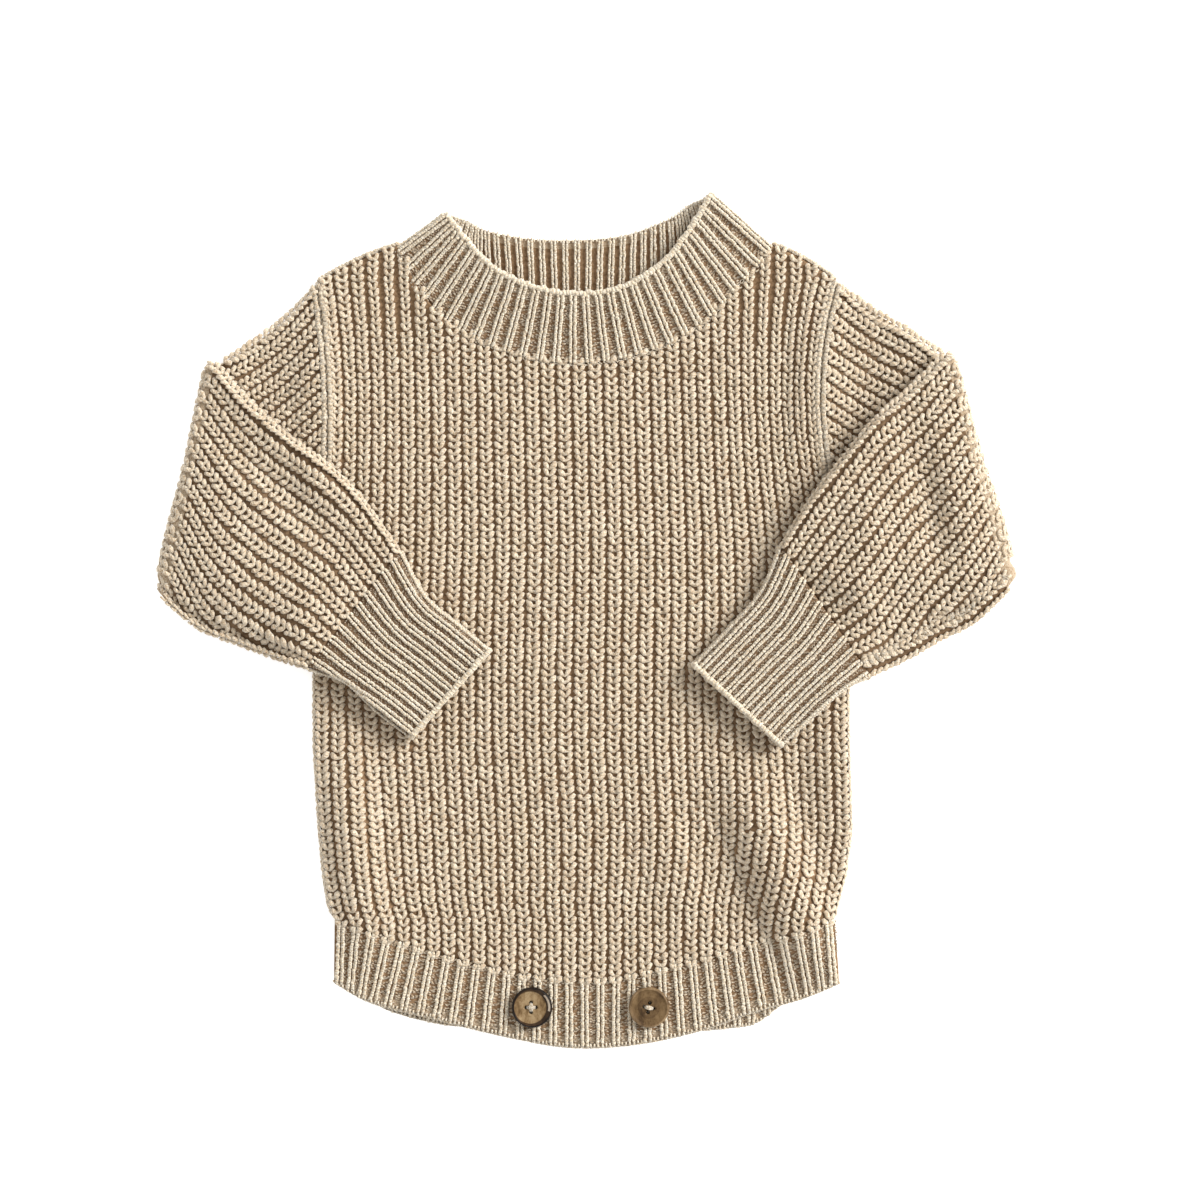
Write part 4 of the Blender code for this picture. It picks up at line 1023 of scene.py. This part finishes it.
# --- Bands -------------------------------------------------------------------------------------
class Band:
    """A ribbed band from its seam to its rounded edge, as a map from (rib, way along) to a point."""

    def __init__(self, rows, ribs, low, high, lifted=False, folded=False, rise=0.0):
        self.rows = evenly(rows, ribs * 4)
        self.ribs = ribs
        self.middle = (high + low) / 2
        self.radius = (high - low) / 2
        self.lifted = lifted                     # it lies on the swell and folds of the body
        self.folded = folded                     # its ends turn down to the back
        self.rise = rise                         # how much higher it is at its edge

    def row(self, rib):
        """A rib's points on the seam and on the edge, and the way between them."""
        spot = min(max(rib, 0.0), self.ribs) * 4
        index = min(int(spot), len(self.rows) - 2)
        x0, y0, x1, y1 = [mix(a, b, spot - index) for a, b in zip(self.rows[index], self.rows[index + 1])]
        return x0, y0, x1, y1, math.hypot(x1 - x0, y1 - y0)

    def turn_from(self, rib):
        return self.row(rib)[4] - BAND_STAND - self.radius

    def flat_point(self, rib, reach, height):
        """A point by its reach from the seam and its height over the band's middle."""
        near = min(rib, self.ribs - rib)
        if self.folded and near < FOLD_FROM:
            return self.fold_point(rib, near, reach, height)
        x0, y0, x1, y1, whole = self.row(rib)
        x = x0 + (x1 - x0) * reach / whole
        y = y0 + (y1 - y0) * reach / whole
        z = self.middle + height + self.rise * ramp(reach / whole)
        return np.array((x, y, z + body_lift(x, y) if self.lifted else z))

    def fold_point(self, rib, near, reach, height):
        """The end of the front half turns down to the back half, about the line of a rib."""
        last, before = FOLD_FROM, FOLD_FROM + FOLD_STEP
        if rib >= FOLD_FROM:
            last, before = self.ribs - last, self.ribs - before
        at = self.flat_point(last, reach, 0.0)
        step = at - self.flat_point(before, reach, 0.0)
        pitch = np.linalg.norm(step) / FOLD_STEP
        angle = (FOLD_FROM - near) * pitch / FOLD_ROLL
        turn = FOLD_ROLL + height - self.radius
        point = at + step / np.linalg.norm(step) * turn * math.sin(angle)
        point[2] = at[2] + self.radius - FOLD_ROLL + turn * math.cos(angle)
        return point

    def place(self, rib, along, height):
        """Up the face from the seam, then round the edge."""
        turn_from = self.turn_from(rib)
        if along <= turn_from:
            return self.flat_point(rib, along, self.radius + height)
        angle = (along - turn_from) / self.radius
        reach = turn_from + (self.radius + height) * math.sin(angle)
        return self.flat_point(rib, reach, (self.radius + height) * math.cos(angle))

    def pitch(self, rib, along):
        a, b = self.flat_point(rib - 0.25, along, 0.0), self.flat_point(rib + 0.25, along, 0.0)
        return 2 * np.linalg.norm(b - a)

    def line(self, reach_of, height):
        """Points along the band, from its first rib to its last, and the directions out of it."""
        points, outs = [], []
        for step in range(self.ribs * 4 + 1):
            rib = step / 4
            along = reach_of(rib)
            points.append(self.place(rib, along, height))
            outs.append(self.place(rib, along, height + 1.0) - points[-1])
        return points, outs


def band_shell(name, band, down_to=None):
    """The band's wall; its end ribs reach down to the back band where it is folded."""
    outer, inner = [], []
    for step in range(band.ribs * 4 + 1):
        rib = step / 4
        turn_from = band.turn_from(rib)
        dip = 0.3 * (1.0 + math.cos(2 * math.pi * rib)) / 2
        up, down = [], []
        for share in range(9):
            up.append(band.flat_point(rib, share / 8 * turn_from, band.radius - dip))
            down.append(band.flat_point(rib, share / 8 * turn_from, -band.radius))
        for angle in (math.pi / 4, math.pi / 2.05):
            reach = turn_from + band.radius * math.sin(angle)
            rise = band.radius * math.cos(angle)
            up.append(band.flat_point(rib, reach, rise))
            down.append(band.flat_point(rib, reach, -rise))
        if down_to is not None and min(rib, band.ribs - rib) < 0.5:
            for point in down:
                point[2] = down_to
        outer.append(up)
        inner.append(down)
    # A band's shell takes the ground's painted shade on its face, and a darker copy of the yarn, painted
    # shade too, on its round edge and walls.
    made = shell_object(name, outer, inner, PAINTED_SHADE_GROUND)
    made.data.materials.append(PAINTED_SHADE_FOLD_KNIT)
    across = len(outer[0]) - 1
    face_side = band.ribs * 4 * across
    for number, face in enumerate(made.data.polygons):
        near_edge = number < face_side and number % across >= across - 3
        face.material_index = 1 if near_edge or number >= 2 * face_side else 0
    return made


def rib_knit(place, centres, walk, scale, pitch_of, seed):
    """Columns of fine stitches on ribs, and arches of purl stitches between them.

    walk(rib, offset) gives the places of a rib's stitches.
    """
    knit, purl = [], []
    for rib in centres:
        for along in walk(rib, 0.3):
            knit.append(frame_at(place, rib, along, 0.1, 0.1, 1.0, scale, 1.0))
        for along in walk(rib + 0.5, 0.6):
            half_valley = (pitch_of(rib + 0.5, along) - COLUMN_WIDTH * scale) / 2 + 0.25
            if half_valley > 0.3:
                purl.append(frame_at(place, rib + 0.5, along, 0.1, 0.1, 1.0, half_valley, 1.0))
    return [lay(FINE, knit, seed, 0.04)], [lay(PURL, purl, seed + 1, 0.2)]


def band_knit(band, scale, seed, starts, ended):
    """The fine ribs of a band, ended by loops that turn round its edge."""
    def walk(rib, offset):
        return walk_rib(band.place, rib, starts, band.turn_from(rib) - 0.8, BAND_ROW, 12, offset)

    def end_at(rib, short, wide, tall):
        return frame_at(band.place, rib, band.turn_from(rib) - short, 0.1, 0.1, 1.0, wide, tall)

    centres = [index + 0.5 for index in range(band.ribs)]
    if band.folded:
        centres = [0.05] + centres + [band.ribs - 0.05]
    parts, painted_shade_part = rib_knit(band.place, centres, walk, scale, band.pitch, seed)
    if ended:
        ends = [end_at(rib, 0.0, scale, 1.0) for rib in centres]
        valleys = [end_at(rib + 0.5, 0.3, 0.8, 0.9) for rib in centres[:-1]]
        parts += [lay(END, ends, seed + 2, 0.02), lay(END, valleys, seed + 3, 0.03)]
    return parts, painted_shade_part


# --- Sleeves -----------------------------------------------------------------------------------
FULLER = 0.15               # the shell comes closer to its stitches where it is folded
TOP_EDGE_REACH = 3.4        # and takes a darker copy of the yarn, painted shade, there and this far round its top edge
UNDER_SEAM = -0.08          # a sleeve's shell starts this far under the body, so no floor shows between
SLEEVE_WIDTH = 1.0          # share of a sleeve rib's width that its stitches take
EDGE_RIB_WIDTH = 0.92       # for the ribs that lie on a sleeve's round upper edge
TURNED_RIB_WIDTH = 1.36
EDGE_ROW = 3.1
EDGE_RIB_SHIFT = 0.5        # a folded sleeve's first rib rolls over its edge
RIB_SHIFT = 0.4
LYING_SHIFT = 0.4
OVER_RIBS, LYING_RIBS = 17, 14      # the most ribs on the folded and on the lying face
ARMHOLE_SEAM = table("along depth wide", ("outer row", 0.1, -0.3, 1.3), ("inner row", 0.0, 1.0, 1.1))
ARMHOLE_SPACING = 2.1
CUFF_COLUMN = 0.85
CUFF_VALLEY = 4.2           # pitch that sets how much of the purl yarn, darkened with painted shade, shows between a cuff's ribs


def tube_shell(name, tube, depth, steps, samples):
    """A tube's closed wall round its flat hollow."""
    outer, inner, turned = [], [], []
    for step in range(steps + 1):
        along = tube.end * step / steps if step or not tube.lying else UNDER_SEAM
        row = tube.section(along)
        half_width = half_width_of(row)
        whole = 2 * half_round(half_width, tube.half_thick)
        turn = math.sin(math.radians(row.turn))
        lying = row.turn < STILL_LYING
        ring, hollow = [], []
        for k in range(samples):
            walk = whole * k / samples
            across, thick, _, out_thick = stadium_point(walk, half_width, tube.half_thick)
            resting = lying and out_thick > 0.0
            ring.append(tube.point(walk, along, RESTING_DEPTH if resting else depth - FULLER * turn))
            turned.append(turn > 0.2 or min(walk, whole - walk) < TOP_EDGE_REACH)
            shows = (thick < 0) if lying else (thick > 0)
            swell = row.loft * (1.0 - (across / half_width) ** 2) if shows else 0.0
            under = tube.place(row, across * (1.0 - 3.0 / half_width),
                               (1.0 if thick > 0 else -1.0) * (HOLLOW_HALF + swell), half_width)
            if shows:
                under[2] = min(under[2], ring[-1][2] - 0.4)
            hollow.append(under)
        outer.append(ring)
        inner.append(hollow)
    # The shell takes the sleeve ground's painted shade, and a darker copy of the yarn, painted shade too,
    # where folded over and round its top edge.
    made = shell_object(name, outer, inner, PAINTED_SHADE_SLEEVE_GROUND, ring=True)
    made.data.materials.append(PAINTED_SHADE_FOLD_KNIT)
    for face, fold_shaded in zip(made.data.polygons, turned[:steps * samples]):
        face.material_index = 1 if fold_shaded else 0
    return made


def face_place(tube, way, depth):
    """A map for the ribs of one face, counted from its top end; way is 1 for the front, -1 for the back."""
    def place(rib, along, height):
        return tube.point(way * (rib * tube.section(along).pitch), along, depth - height)
    return place


def sleeve_knit(tube, strip_ribs, seed):
    """Ribs of the face folded over, the strip past its underarm crease and the lying face."""
    rows = []
    fold_from = tube.start_over - 1
    over, lying = face_place(tube, -1, SLEEVE_DEPTH), face_place(tube, 1, SLEEVE_DEPTH)

    def stitch(place, rib, along, wide=SLEEVE_WIDTH):
        return frame_at(place, rib, along, 0.05, 0.02, -1.0, wide, 1.0, fitted=True)

    def edge_stitch(place, rib, along):
        wide = EDGE_RIB_WIDTH * tube.section(along).pitch / RIB_WIDTH
        return frame_at(place, rib, along, 0.05, 0.02, -1.0, wide, 1.0)

    for index in range(OVER_RIBS):
        rib = index + (RIB_SHIFT if index else EDGE_RIB_SHIFT)
        last = fold_from + 0.25 if index else tube.start_over - 0.15
        for along in walk_rib(over, rib, tube.end, last, ROW if index else EDGE_ROW, 60, 0.25):
            turned = along < tube.start_over
            left = tube.half_round_at(along) - tube.strip - rib * tube.section(along).pitch
            if left < (-0.5 if turned else -4.5):
                continue
            if index:
                frame = stitch(over, rib, along)
            elif turned:
                frame = stitch(over, rib, along, TURNED_RIB_WIDTH)
            else:
                frame = edge_stitch(over, rib, along)
            if left < -1.0:
                frame = (frame[0] + frame[3] * (left + 1.0) * 0.25, *frame[1:])
            if index == 0:
                frame = pressed(frame, 0.2)
            rows.append(pressed(frame) if along < tube.start_over - 0.15 else frame)

    def strip(rib, along, height):
        walk = rib * (tube.strip / strip_ribs) - tube.half_round_at(along)
        return tube.point(walk, along, SLEEVE_DEPTH - height)

    for index in range(strip_ribs):
        for along in walk_rib(strip, index + 0.5, tube.end, tube.start_over - 0.05, ROW, 60, 0.25):
            frame = stitch(strip, index + 0.5, along)
            rows.append(pressed(frame) if along < tube.start_over + 0.1 else frame)
    for index in range(LYING_RIBS):
        rib = index + LYING_SHIFT
        for along in walk_rib(lying, rib, 0.17, fold_from - (0.0 if index else 0.15), ROW, 40, 0.9):
            if index == 0:
                rows.append(pressed(edge_stitch(lying, rib, along), 0.4))
            elif not covered(*lying(rib, along, 0.0)[:2]):
                rows.append(stitch(lying, rib, along))

    def beside_armhole(along, walk, height):
        return tube.point(walk, along, SLEEVE_DEPTH - height)

    seam = []
    for _, along, depth, wide in ARMHOLE_SEAM:
        for walk in np.arange(2.0, tube.half_round_at(0.0) - 3.0, ARMHOLE_SPACING):
            frame = frame_at(beside_armhole, along, walk, 0.03, 0.5, -1.0, wide, 1.6)
            if not covered(*frame[0][:2]):
                seam.append((frame[0] - frame[3] * depth, *frame[1:]))
    return [lay(CHUNKY, rows, seed), lay(FINE, seam, seed + 1)]


def cuff_knit(tube, seed):
    """The fine ribs of a cuff's upper face."""
    place = face_place(tube, -1, CUFF_DEPTH)
    centres = [index - 0.8 for index in range(int(tube.half_round_at(0.0) / tube.section(0.0).pitch) + 4)]

    def walk(rib, offset):
        return walk_rib(place, rib, 0.0, tube.end - 0.06, BAND_ROW, 30, offset)

    return rib_knit(place, centres, walk, CUFF_COLUMN, lambda rib, along: CUFF_VALLEY, seed)


def cuff_rim(tube, seed):
    """The rounded knit edge round a cuff's end."""
    points, outs = [], []
    for k in range(97):
        walk = 2 * tube.half_round_at(tube.end) * k / 96
        points.append(tube.point(walk, tube.end - 0.03, CUFF_DEPTH - 0.6))
        outs.append(tube.point(walk, tube.end - 0.03, CUFF_DEPTH - 1.6) - points[-1])
    return [lay(RIM, edge_path_frames(points, outs, 1.6), seed, 0.08)]


# --- Buttons -----------------------------------------------------------------------------------
# A button's turned shape, from its underside round the rim to its middle, named by its finish, and
# how far each ring is moved over because the dish is worn off its centre.
BUTTON_PROFILE = table(
    "radius height shift",
    ("rim", 8.4, 0, 0), ("rim", 9.3, 0.35, 0), ("rim", 9.85, 1.1, 0), ("rim", 10, 1.9, 0),
    ("rim", 9.85, 2.7, 0), ("rim", 9.4, 3.25, 0), ("rim", 8.95, 3.4, 0), ("wall", 8.7, 3.2, 0.1),
    ("wall", 8.35, 2.75, 0.4), ("wall", 7.9, 2.3, 0.85), ("face", 7.6, 2.15, 1), ("face", 5.4, 2.05, 0.9),
    ("middle", 4.2, 2.02, 0.8), ("middle", 2.5, 2, 0.6),
)
BUTTON_TOP = 3.4
BUTTON_STEPS = 96
BUTTON_BASE = 7.3
HOLE_RADIUS = 0.95
HOLE_REACH = 2.3
BUTTON_LOOKS = table(
    "x y shift dish hole_turn glint",
    ("button_left", -26, -190.5, 1.0, 1.0, 0.0, True),
    ("button_right", 31.5, -190.5, 0.15, 0.35, -0.2, False),
)
HORN = table(
    "light middle dark roughness specular",
    ("rim", (0.02, 0.012, 0.008), (0.011, 0.007, 0.005), (0.006, 0.004, 0.003), 0.35, 0.12),
    ("wall", (0.07, 0.04, 0.02), (0.04, 0.022, 0.011), (0.02, 0.011, 0.006), 0.35, 0.15),
    ("face", (0.31, 0.22, 0.12), (0.19, 0.12, 0.056), (0.085, 0.048, 0.02), 0.55, 0.08),
    # The glint is a painted reflection: pale horn on the part of the dish wall that faces the key light.
    ("glint", (0.62, 0.53, 0.43), (0.54, 0.45, 0.35), (0.42, 0.33, 0.24), 0.4, 0.3),
    ("brown", (0.17, 0.108, 0.052), (0.115, 0.07, 0.032), (0.065, 0.038, 0.018), 0.55, 0.08),
    ("dark", (0.13, 0.08, 0.037), (0.085, 0.05, 0.023), (0.045, 0.026, 0.012), 0.55, 0.08),
    ("edge", (0.26, 0.175, 0.095), (0.18, 0.115, 0.058), (0.10, 0.06, 0.028), 0.45, 0.15),
)
# Finishes of the rim, wall, face, glint and middle, in the order of a mesh's slots.
SLOTS = {"rim": 0, "wall": 1, "face": 2, "glint": 3, "middle": 4}
FINISHES = {"button_left": ("rim", "wall", "face", "glint", "face"),
            "button_right": ("edge", "brown", "brown", "edge", "dark")}


def dished(height, look):
    """A height on the face of a button whose dish is shallower than the profile's."""
    return BUTTON_TOP - (BUTTON_TOP - height) * look.dish


def hole_places(look):
    angles = [look.hole_turn + k * math.pi / 2 for k in range(4)]
    return [(HOLE_REACH * math.cos(angle) - 0.5 * look.shift, HOLE_REACH * math.sin(angle))
            for angle in angles]


def turned_button(look, finishes):
    """A turned disc with a dished face and four bored holes."""
    mesh = bmesh.new()
    rings = []
    for row in BUTTON_PROFILE:
        height = row.height if row.name == "rim" else dished(row.height, look)
        ring = []
        for k in range(BUTTON_STEPS):
            angle = 2 * math.pi * k / BUTTON_STEPS
            ring.append(mesh.verts.new(((row.radius * math.cos(angle) - row.shift * look.shift) * MM,
                                        row.radius * math.sin(angle) * MM, height * MM)))
        rings.append(ring)
    for row, lower, upper in zip(BUTTON_PROFILE[1:], rings, rings[1:]):
        for k in range(BUTTON_STEPS):
            after = (k + 1) % BUTTON_STEPS
            face = mesh.faces.new((lower[k], lower[after], upper[after], upper[k]))
            # Painted reflection: wall faces on the side toward the key light take the glint.
            toward_light = math.remainder(2 * math.pi * (k + 0.5) / BUTTON_STEPS - 0.3, 2 * math.pi)
            shines = look.glint and row.name == "wall" and row.radius > 8.3 and -0.5 < toward_light < 0.5
            face.material_index = SLOTS["glint" if shines else row.name]
            face.smooth = True
    mesh.faces.new(rings[-1]).material_index = SLOTS["middle"]
    mesh.faces.new(list(reversed(rings[0]))).material_index = SLOTS["rim"]
    data = bpy.data.meshes.new(look.name + "_turned")
    bmesh.ops.recalc_face_normals(mesh, faces=mesh.faces)
    mesh.to_mesh(data)
    mesh.free()
    for finish in finishes:
        data.materials.append(finish)
    made = put(look.name + "_turned", data)
    drill = bmesh.new()
    for x, y in hole_places(look):
        bored = bmesh.ops.create_cone(drill, cap_ends=True, segments=20, radius1=HOLE_RADIUS * MM,
                                      radius2=HOLE_RADIUS * MM, depth=8 * MM)
        bmesh.ops.translate(drill, verts=bored["verts"], vec=(x * MM, y * MM, 2 * MM))
    drill_data = bpy.data.meshes.new("drill")
    drill.to_mesh(drill_data)
    drill.free()
    cutter = put("drill", drill_data)
    cut = made.modifiers.new("holes", "BOOLEAN")
    cut.operation = "DIFFERENCE"
    cut.object = cutter
    cut.solver = "EXACT"
    graph = bpy.context.evaluated_depsgraph_get()
    finished = bpy.data.meshes.new_from_object(made.evaluated_get(graph))
    made.modifiers.clear()
    made.data = finished
    bpy.data.objects.remove(cutter)
    for vertex in finished.vertices:
        vertex.co.x += look.x * MM
        vertex.co.y += look.y * MM
        vertex.co.z += (BUTTON_BASE + body_lift(look.x, look.y)) * MM
    return made


# A strand's share of the way from hole to hole, its height over the button and its radius.
STRAND = table("share height radius", ("in the hole", 0, -1.4, 0.28), ("out", 0.1, 0, 0.34),
               ("up", 0.3, 0.75, 0.42), ("top", 0.5, 1, 0.45), ("down", 0.7, 0.75, 0.42),
               ("in", 0.9, 0, 0.34), ("in the next hole", 1, -1.4, 0.28))


def button_thread(look):
    """Strands of yarn from hole to hole: a full cross on one button, one short bar on the other."""
    holes = hole_places(look)
    base = BUTTON_BASE + body_lift(look.x, look.y) + dished(2.0, look)
    pairs = ((0, 2, 0.9), (1, 3, 1.1)) if look.glint else ((0, 2, 0.9),)
    tubes = []
    for start, end, rise in pairs:
        (x0, y0), (x1, y1) = holes[start], holes[end]
        length = math.hypot(x1 - x0, y1 - y0)
        beside_x, beside_y = -(y1 - y0) / length, (x1 - x0) / length
        for strand in (-1.0, 0.0, 1.0):
            path = []
            for row in STRAND:
                spread = strand * 0.5 * (1.0 - (2 * row.share - 1) ** 2) + strand * 0.16
                path.append((look.x + x0 + (x1 - x0) * row.share + beside_x * spread,
                             look.y + y0 + (y1 - y0) * row.share + beside_y * spread,
                             base + row.height * rise * (1.0 if strand == 0 else 0.85)))
            radii = [row.radius for row in STRAND]
            tubes.append(yarn(path, radii, 8, (beside_x, beside_y, 0.0)))
    return mesh_object(look.name + "_thread", together(*tubes), PAINTED_LIGHT_KNIT)


def dress(piece, *nodes):
    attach(piece, "root")
    if nodes:
        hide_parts(*nodes)
    return piece


def sheet_of(shell):
    """Works out the area of one side of a knitted piece's shell, and does nothing more with it."""
    area = sum(face.area for face in shell.data.polygons) / 2


def stitched(name, parts, finish=KNIT):
    return dress(mesh_object(name, together(*parts), finish))


def ribbed(name, parts, painted_shade_part):
    """Fine ribs: columns in a paler copy of the yarn with painted light, and purls between them in a darker
    copy with painted shade.
    """
    columns = together(*parts)
    return dress(mesh_object(name, together(columns, *painted_shade_part), PAINTED_LIGHT_KNIT, len(columns.quads)))


def make_body():
    # The back's shell is in a darker copy of the yarn, painted shade.
    back = dress(panel_shell("back_cloth", BACK_EDGES, back_walls, PAINTED_SHADE_FOLD_KNIT), "back_panel")
    # The front's shell shows between its stitches in the ground's painted shade.
    front = dress(panel_shell("front_cloth", FRONT_EDGES, front_walls, PAINTED_SHADE_GROUND), "front_panel")
    halves = zip(("left", "right"), front_rows(), shoulder_seams())
    stitches = [stitched("front_stitches_" + side, [lay(CHUNKY, rows, 11 + number),
                                                    lay(RIM, seam, 15 + number, 0.1)])
                for number, (side, rows, seam) in enumerate(halves)]
    sheet_of(front)
    sheet_of(back)
    return front, back


def make_neck(front, back):
    front_band = Band(NECK_FRONT, NECK_RIBS_FRONT, FRONT_UNDER, NECK_FACE, folded=True, rise=NECK_RISE)
    back_band = Band(NECK_BACK, NECK_RIBS_BACK, *BACK_BAND)
    shell = dress(band_shell("neck_front_cloth", front_band, down_to=BACK_BAND[0]), "neckband")
    under = dress(band_shell("neck_back_cloth", back_band))
    fine = ribbed("neck_front_stitches", *band_knit(front_band, 0.9, 101, -0.8, ended=False))
    behind = ribbed("neck_back_stitches", band_knit(back_band, 0.7, 131, -0.8, ended=True)[0], [])
    rim_frames = edge_path_frames(*front_band.line(lambda rib: front_band.turn_from(rib) + 0.5, 0.2), 1.65)
    # The rim is in the paler copy of the yarn, painted light.
    rim = stitched("neck_rim", [lay(RIM, rim_frames, 141, 0.12)], PAINTED_LIGHT_KNIT)
    seam_frames = edge_path_frames(*front_band.line(lambda rib: -1.1, -0.5), 1.9)
    seam = stitched("neck_linking", [lay(LINK, seam_frames, 151, 0.15)])
    sheet_of(shell)
    sheet_of(under)


def make_hem(front, back):
    front_band = Band(HEM_FRONT, BODY_RIBS, FRONT_UNDER, HEM_FACE, lifted=True)
    back_band = Band(HEM_BACK, BODY_RIBS, *BACK_BAND)
    for name, node, band, seed, starts, panel in (
            ("hem_front", "hem_band_front", front_band, 161, -1.2, front),
            ("hem_back", "hem_band_back", back_band, 171, 12.0, back)):
        shell = dress(band_shell(name + "_cloth", band), node)
        fine = ribbed(name + "_stitches", *band_knit(band, 0.95, seed, starts, ended=True))
        rim_line = band.line(lambda rib: band.turn_from(rib) + band.radius * 1.4, 0.1)
        rim_frames = edge_path_frames(*rim_line, 1.0)
        rim = stitched(name + "_rim", [lay(EDGE, rim_frames, seed + 7, 0.12)])
        sheet_of(shell)


def make_sleeve(front, side, rows, cuff_rows, lying_folds, folds, cuff_folds, strip_ribs, strip, seed):
    fold = rows[4]
    sleeve = FlatTube(rows, side, fold, SLEEVE_HALF_THICK, lying_folds, folds, strip)
    cuff = FlatTube(cuff_rows, side, fold, CUFF_HALF_THICK, (), cuff_folds, 0.0)
    shell = dress(tube_shell("sleeve_" + side + "_cloth", sleeve, SLEEVE_DEPTH, 72, 120), "sleeve_" + side)
    knit = stitched("sleeve_" + side + "_stitches", sleeve_knit(sleeve, strip_ribs, seed))
    sheet_of(shell)
    shell = dress(tube_shell("cuff_" + side + "_cloth", cuff, CUFF_DEPTH, 16, 88), "cuff_" + side)
    fine = ribbed("cuff_" + side + "_stitches", *cuff_knit(cuff, seed + 3))
    # The rim is in the paler copy of the yarn, painted light.
    rim = stitched("cuff_" + side + "_rim", cuff_rim(cuff, seed + 6), PAINTED_LIGHT_KNIT)
    sheet_of(shell)


def make_buttons():
    horn = {row.name: horn_finish("horn_" + row.name, *row[1:]) for row in HORN}
    for look in BUTTON_LOOKS:
        button = turned_button(look, [horn[name] for name in FINISHES[look.name]])
        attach(button, "root")
        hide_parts(look.name)
        dress(button_thread(look))


# --- Floor, light and camera -------------------------------------------------------------------
PHOTO_CENTRE = (7.4, 9.8)   # what the middle of the picture looks at
PHOTO_WIDTH = 590.9         # width of the view at the garment
GARMENT_HEIGHT = 7.0
LENS, SENSOR = 85.0, 36.0
FLOOR_Z = -0.4
KEY_PLACE = (5.1, 2.55, 3.9)
KEY_SIZE = 3.4
KEY_POWER = 635.0
SKY_STRENGTH = 0.79
FLOOR_GLOW = 0.55           # keeps the floor as white as the photo's


def make_stage():
    mesh = bmesh.new()
    bmesh.ops.create_grid(mesh, x_segments=1, y_segments=1, size=3.0)
    data = bpy.data.meshes.new("floor")
    mesh.to_mesh(data)
    mesh.free()
    data.materials.append(Finish("floor_white").done({
        "Base Color": (0.94, 0.94, 0.935, 1.0), "Roughness": 0.9,
        "Emission Color": (1.0, 1.0, 1.0, 1.0), "Emission Strength": FLOOR_GLOW}))
    floor = put("floor", data)
    floor.location = (0.0, 0.0, FLOOR_Z * MM)

    scene = bpy.context.scene
    scene.world = bpy.data.worlds.new("studio")
    scene.world.use_nodes = True
    background = scene.world.node_tree.nodes["Background"]
    background.inputs["Color"].default_value = (1.0, 0.995, 0.985, 1.0)
    background.inputs["Strength"].default_value = SKY_STRENGTH

    light = bpy.data.lights.new("key", "AREA")
    light.shape = "DISK"
    light.size = KEY_SIZE
    light.energy = KEY_POWER
    light.color = (1.0, 0.99, 0.975)
    key = put("key", light)
    key.location = KEY_PLACE
    key.rotation_euler = (-Vector(KEY_PLACE)).to_track_quat("-Z", "Y").to_euler()

    camera = bpy.data.cameras.new("camera")
    camera.lens = LENS
    camera.sensor_width = SENSOR
    scene.camera = put("camera", camera)
    height = PHOTO_WIDTH * LENS / SENSOR + GARMENT_HEIGHT
    scene.camera.location = (PHOTO_CENTRE[0] * MM, PHOTO_CENTRE[1] * MM, height * MM)
    scene.view_settings.view_transform = "Standard"
    scene.view_settings.look = "None"


cloth_front, cloth_back = make_body()
make_neck(cloth_front, cloth_back)
make_hem(cloth_front, cloth_back)
make_sleeve(cloth_front, "left", SLEEVE_LEFT, CUFF_LEFT, LYING_FOLDS_LEFT, FOLDS_LEFT, CUFF_FOLDS_LEFT,
            strip_ribs=1, strip=8.0, seed=31)
make_sleeve(cloth_front, "right", SLEEVE_RIGHT, CUFF_RIGHT, LYING_FOLDS_RIGHT, FOLDS_RIGHT, (),
            strip_ribs=2, strip=13.0, seed=57)
make_buttons()
make_stage()
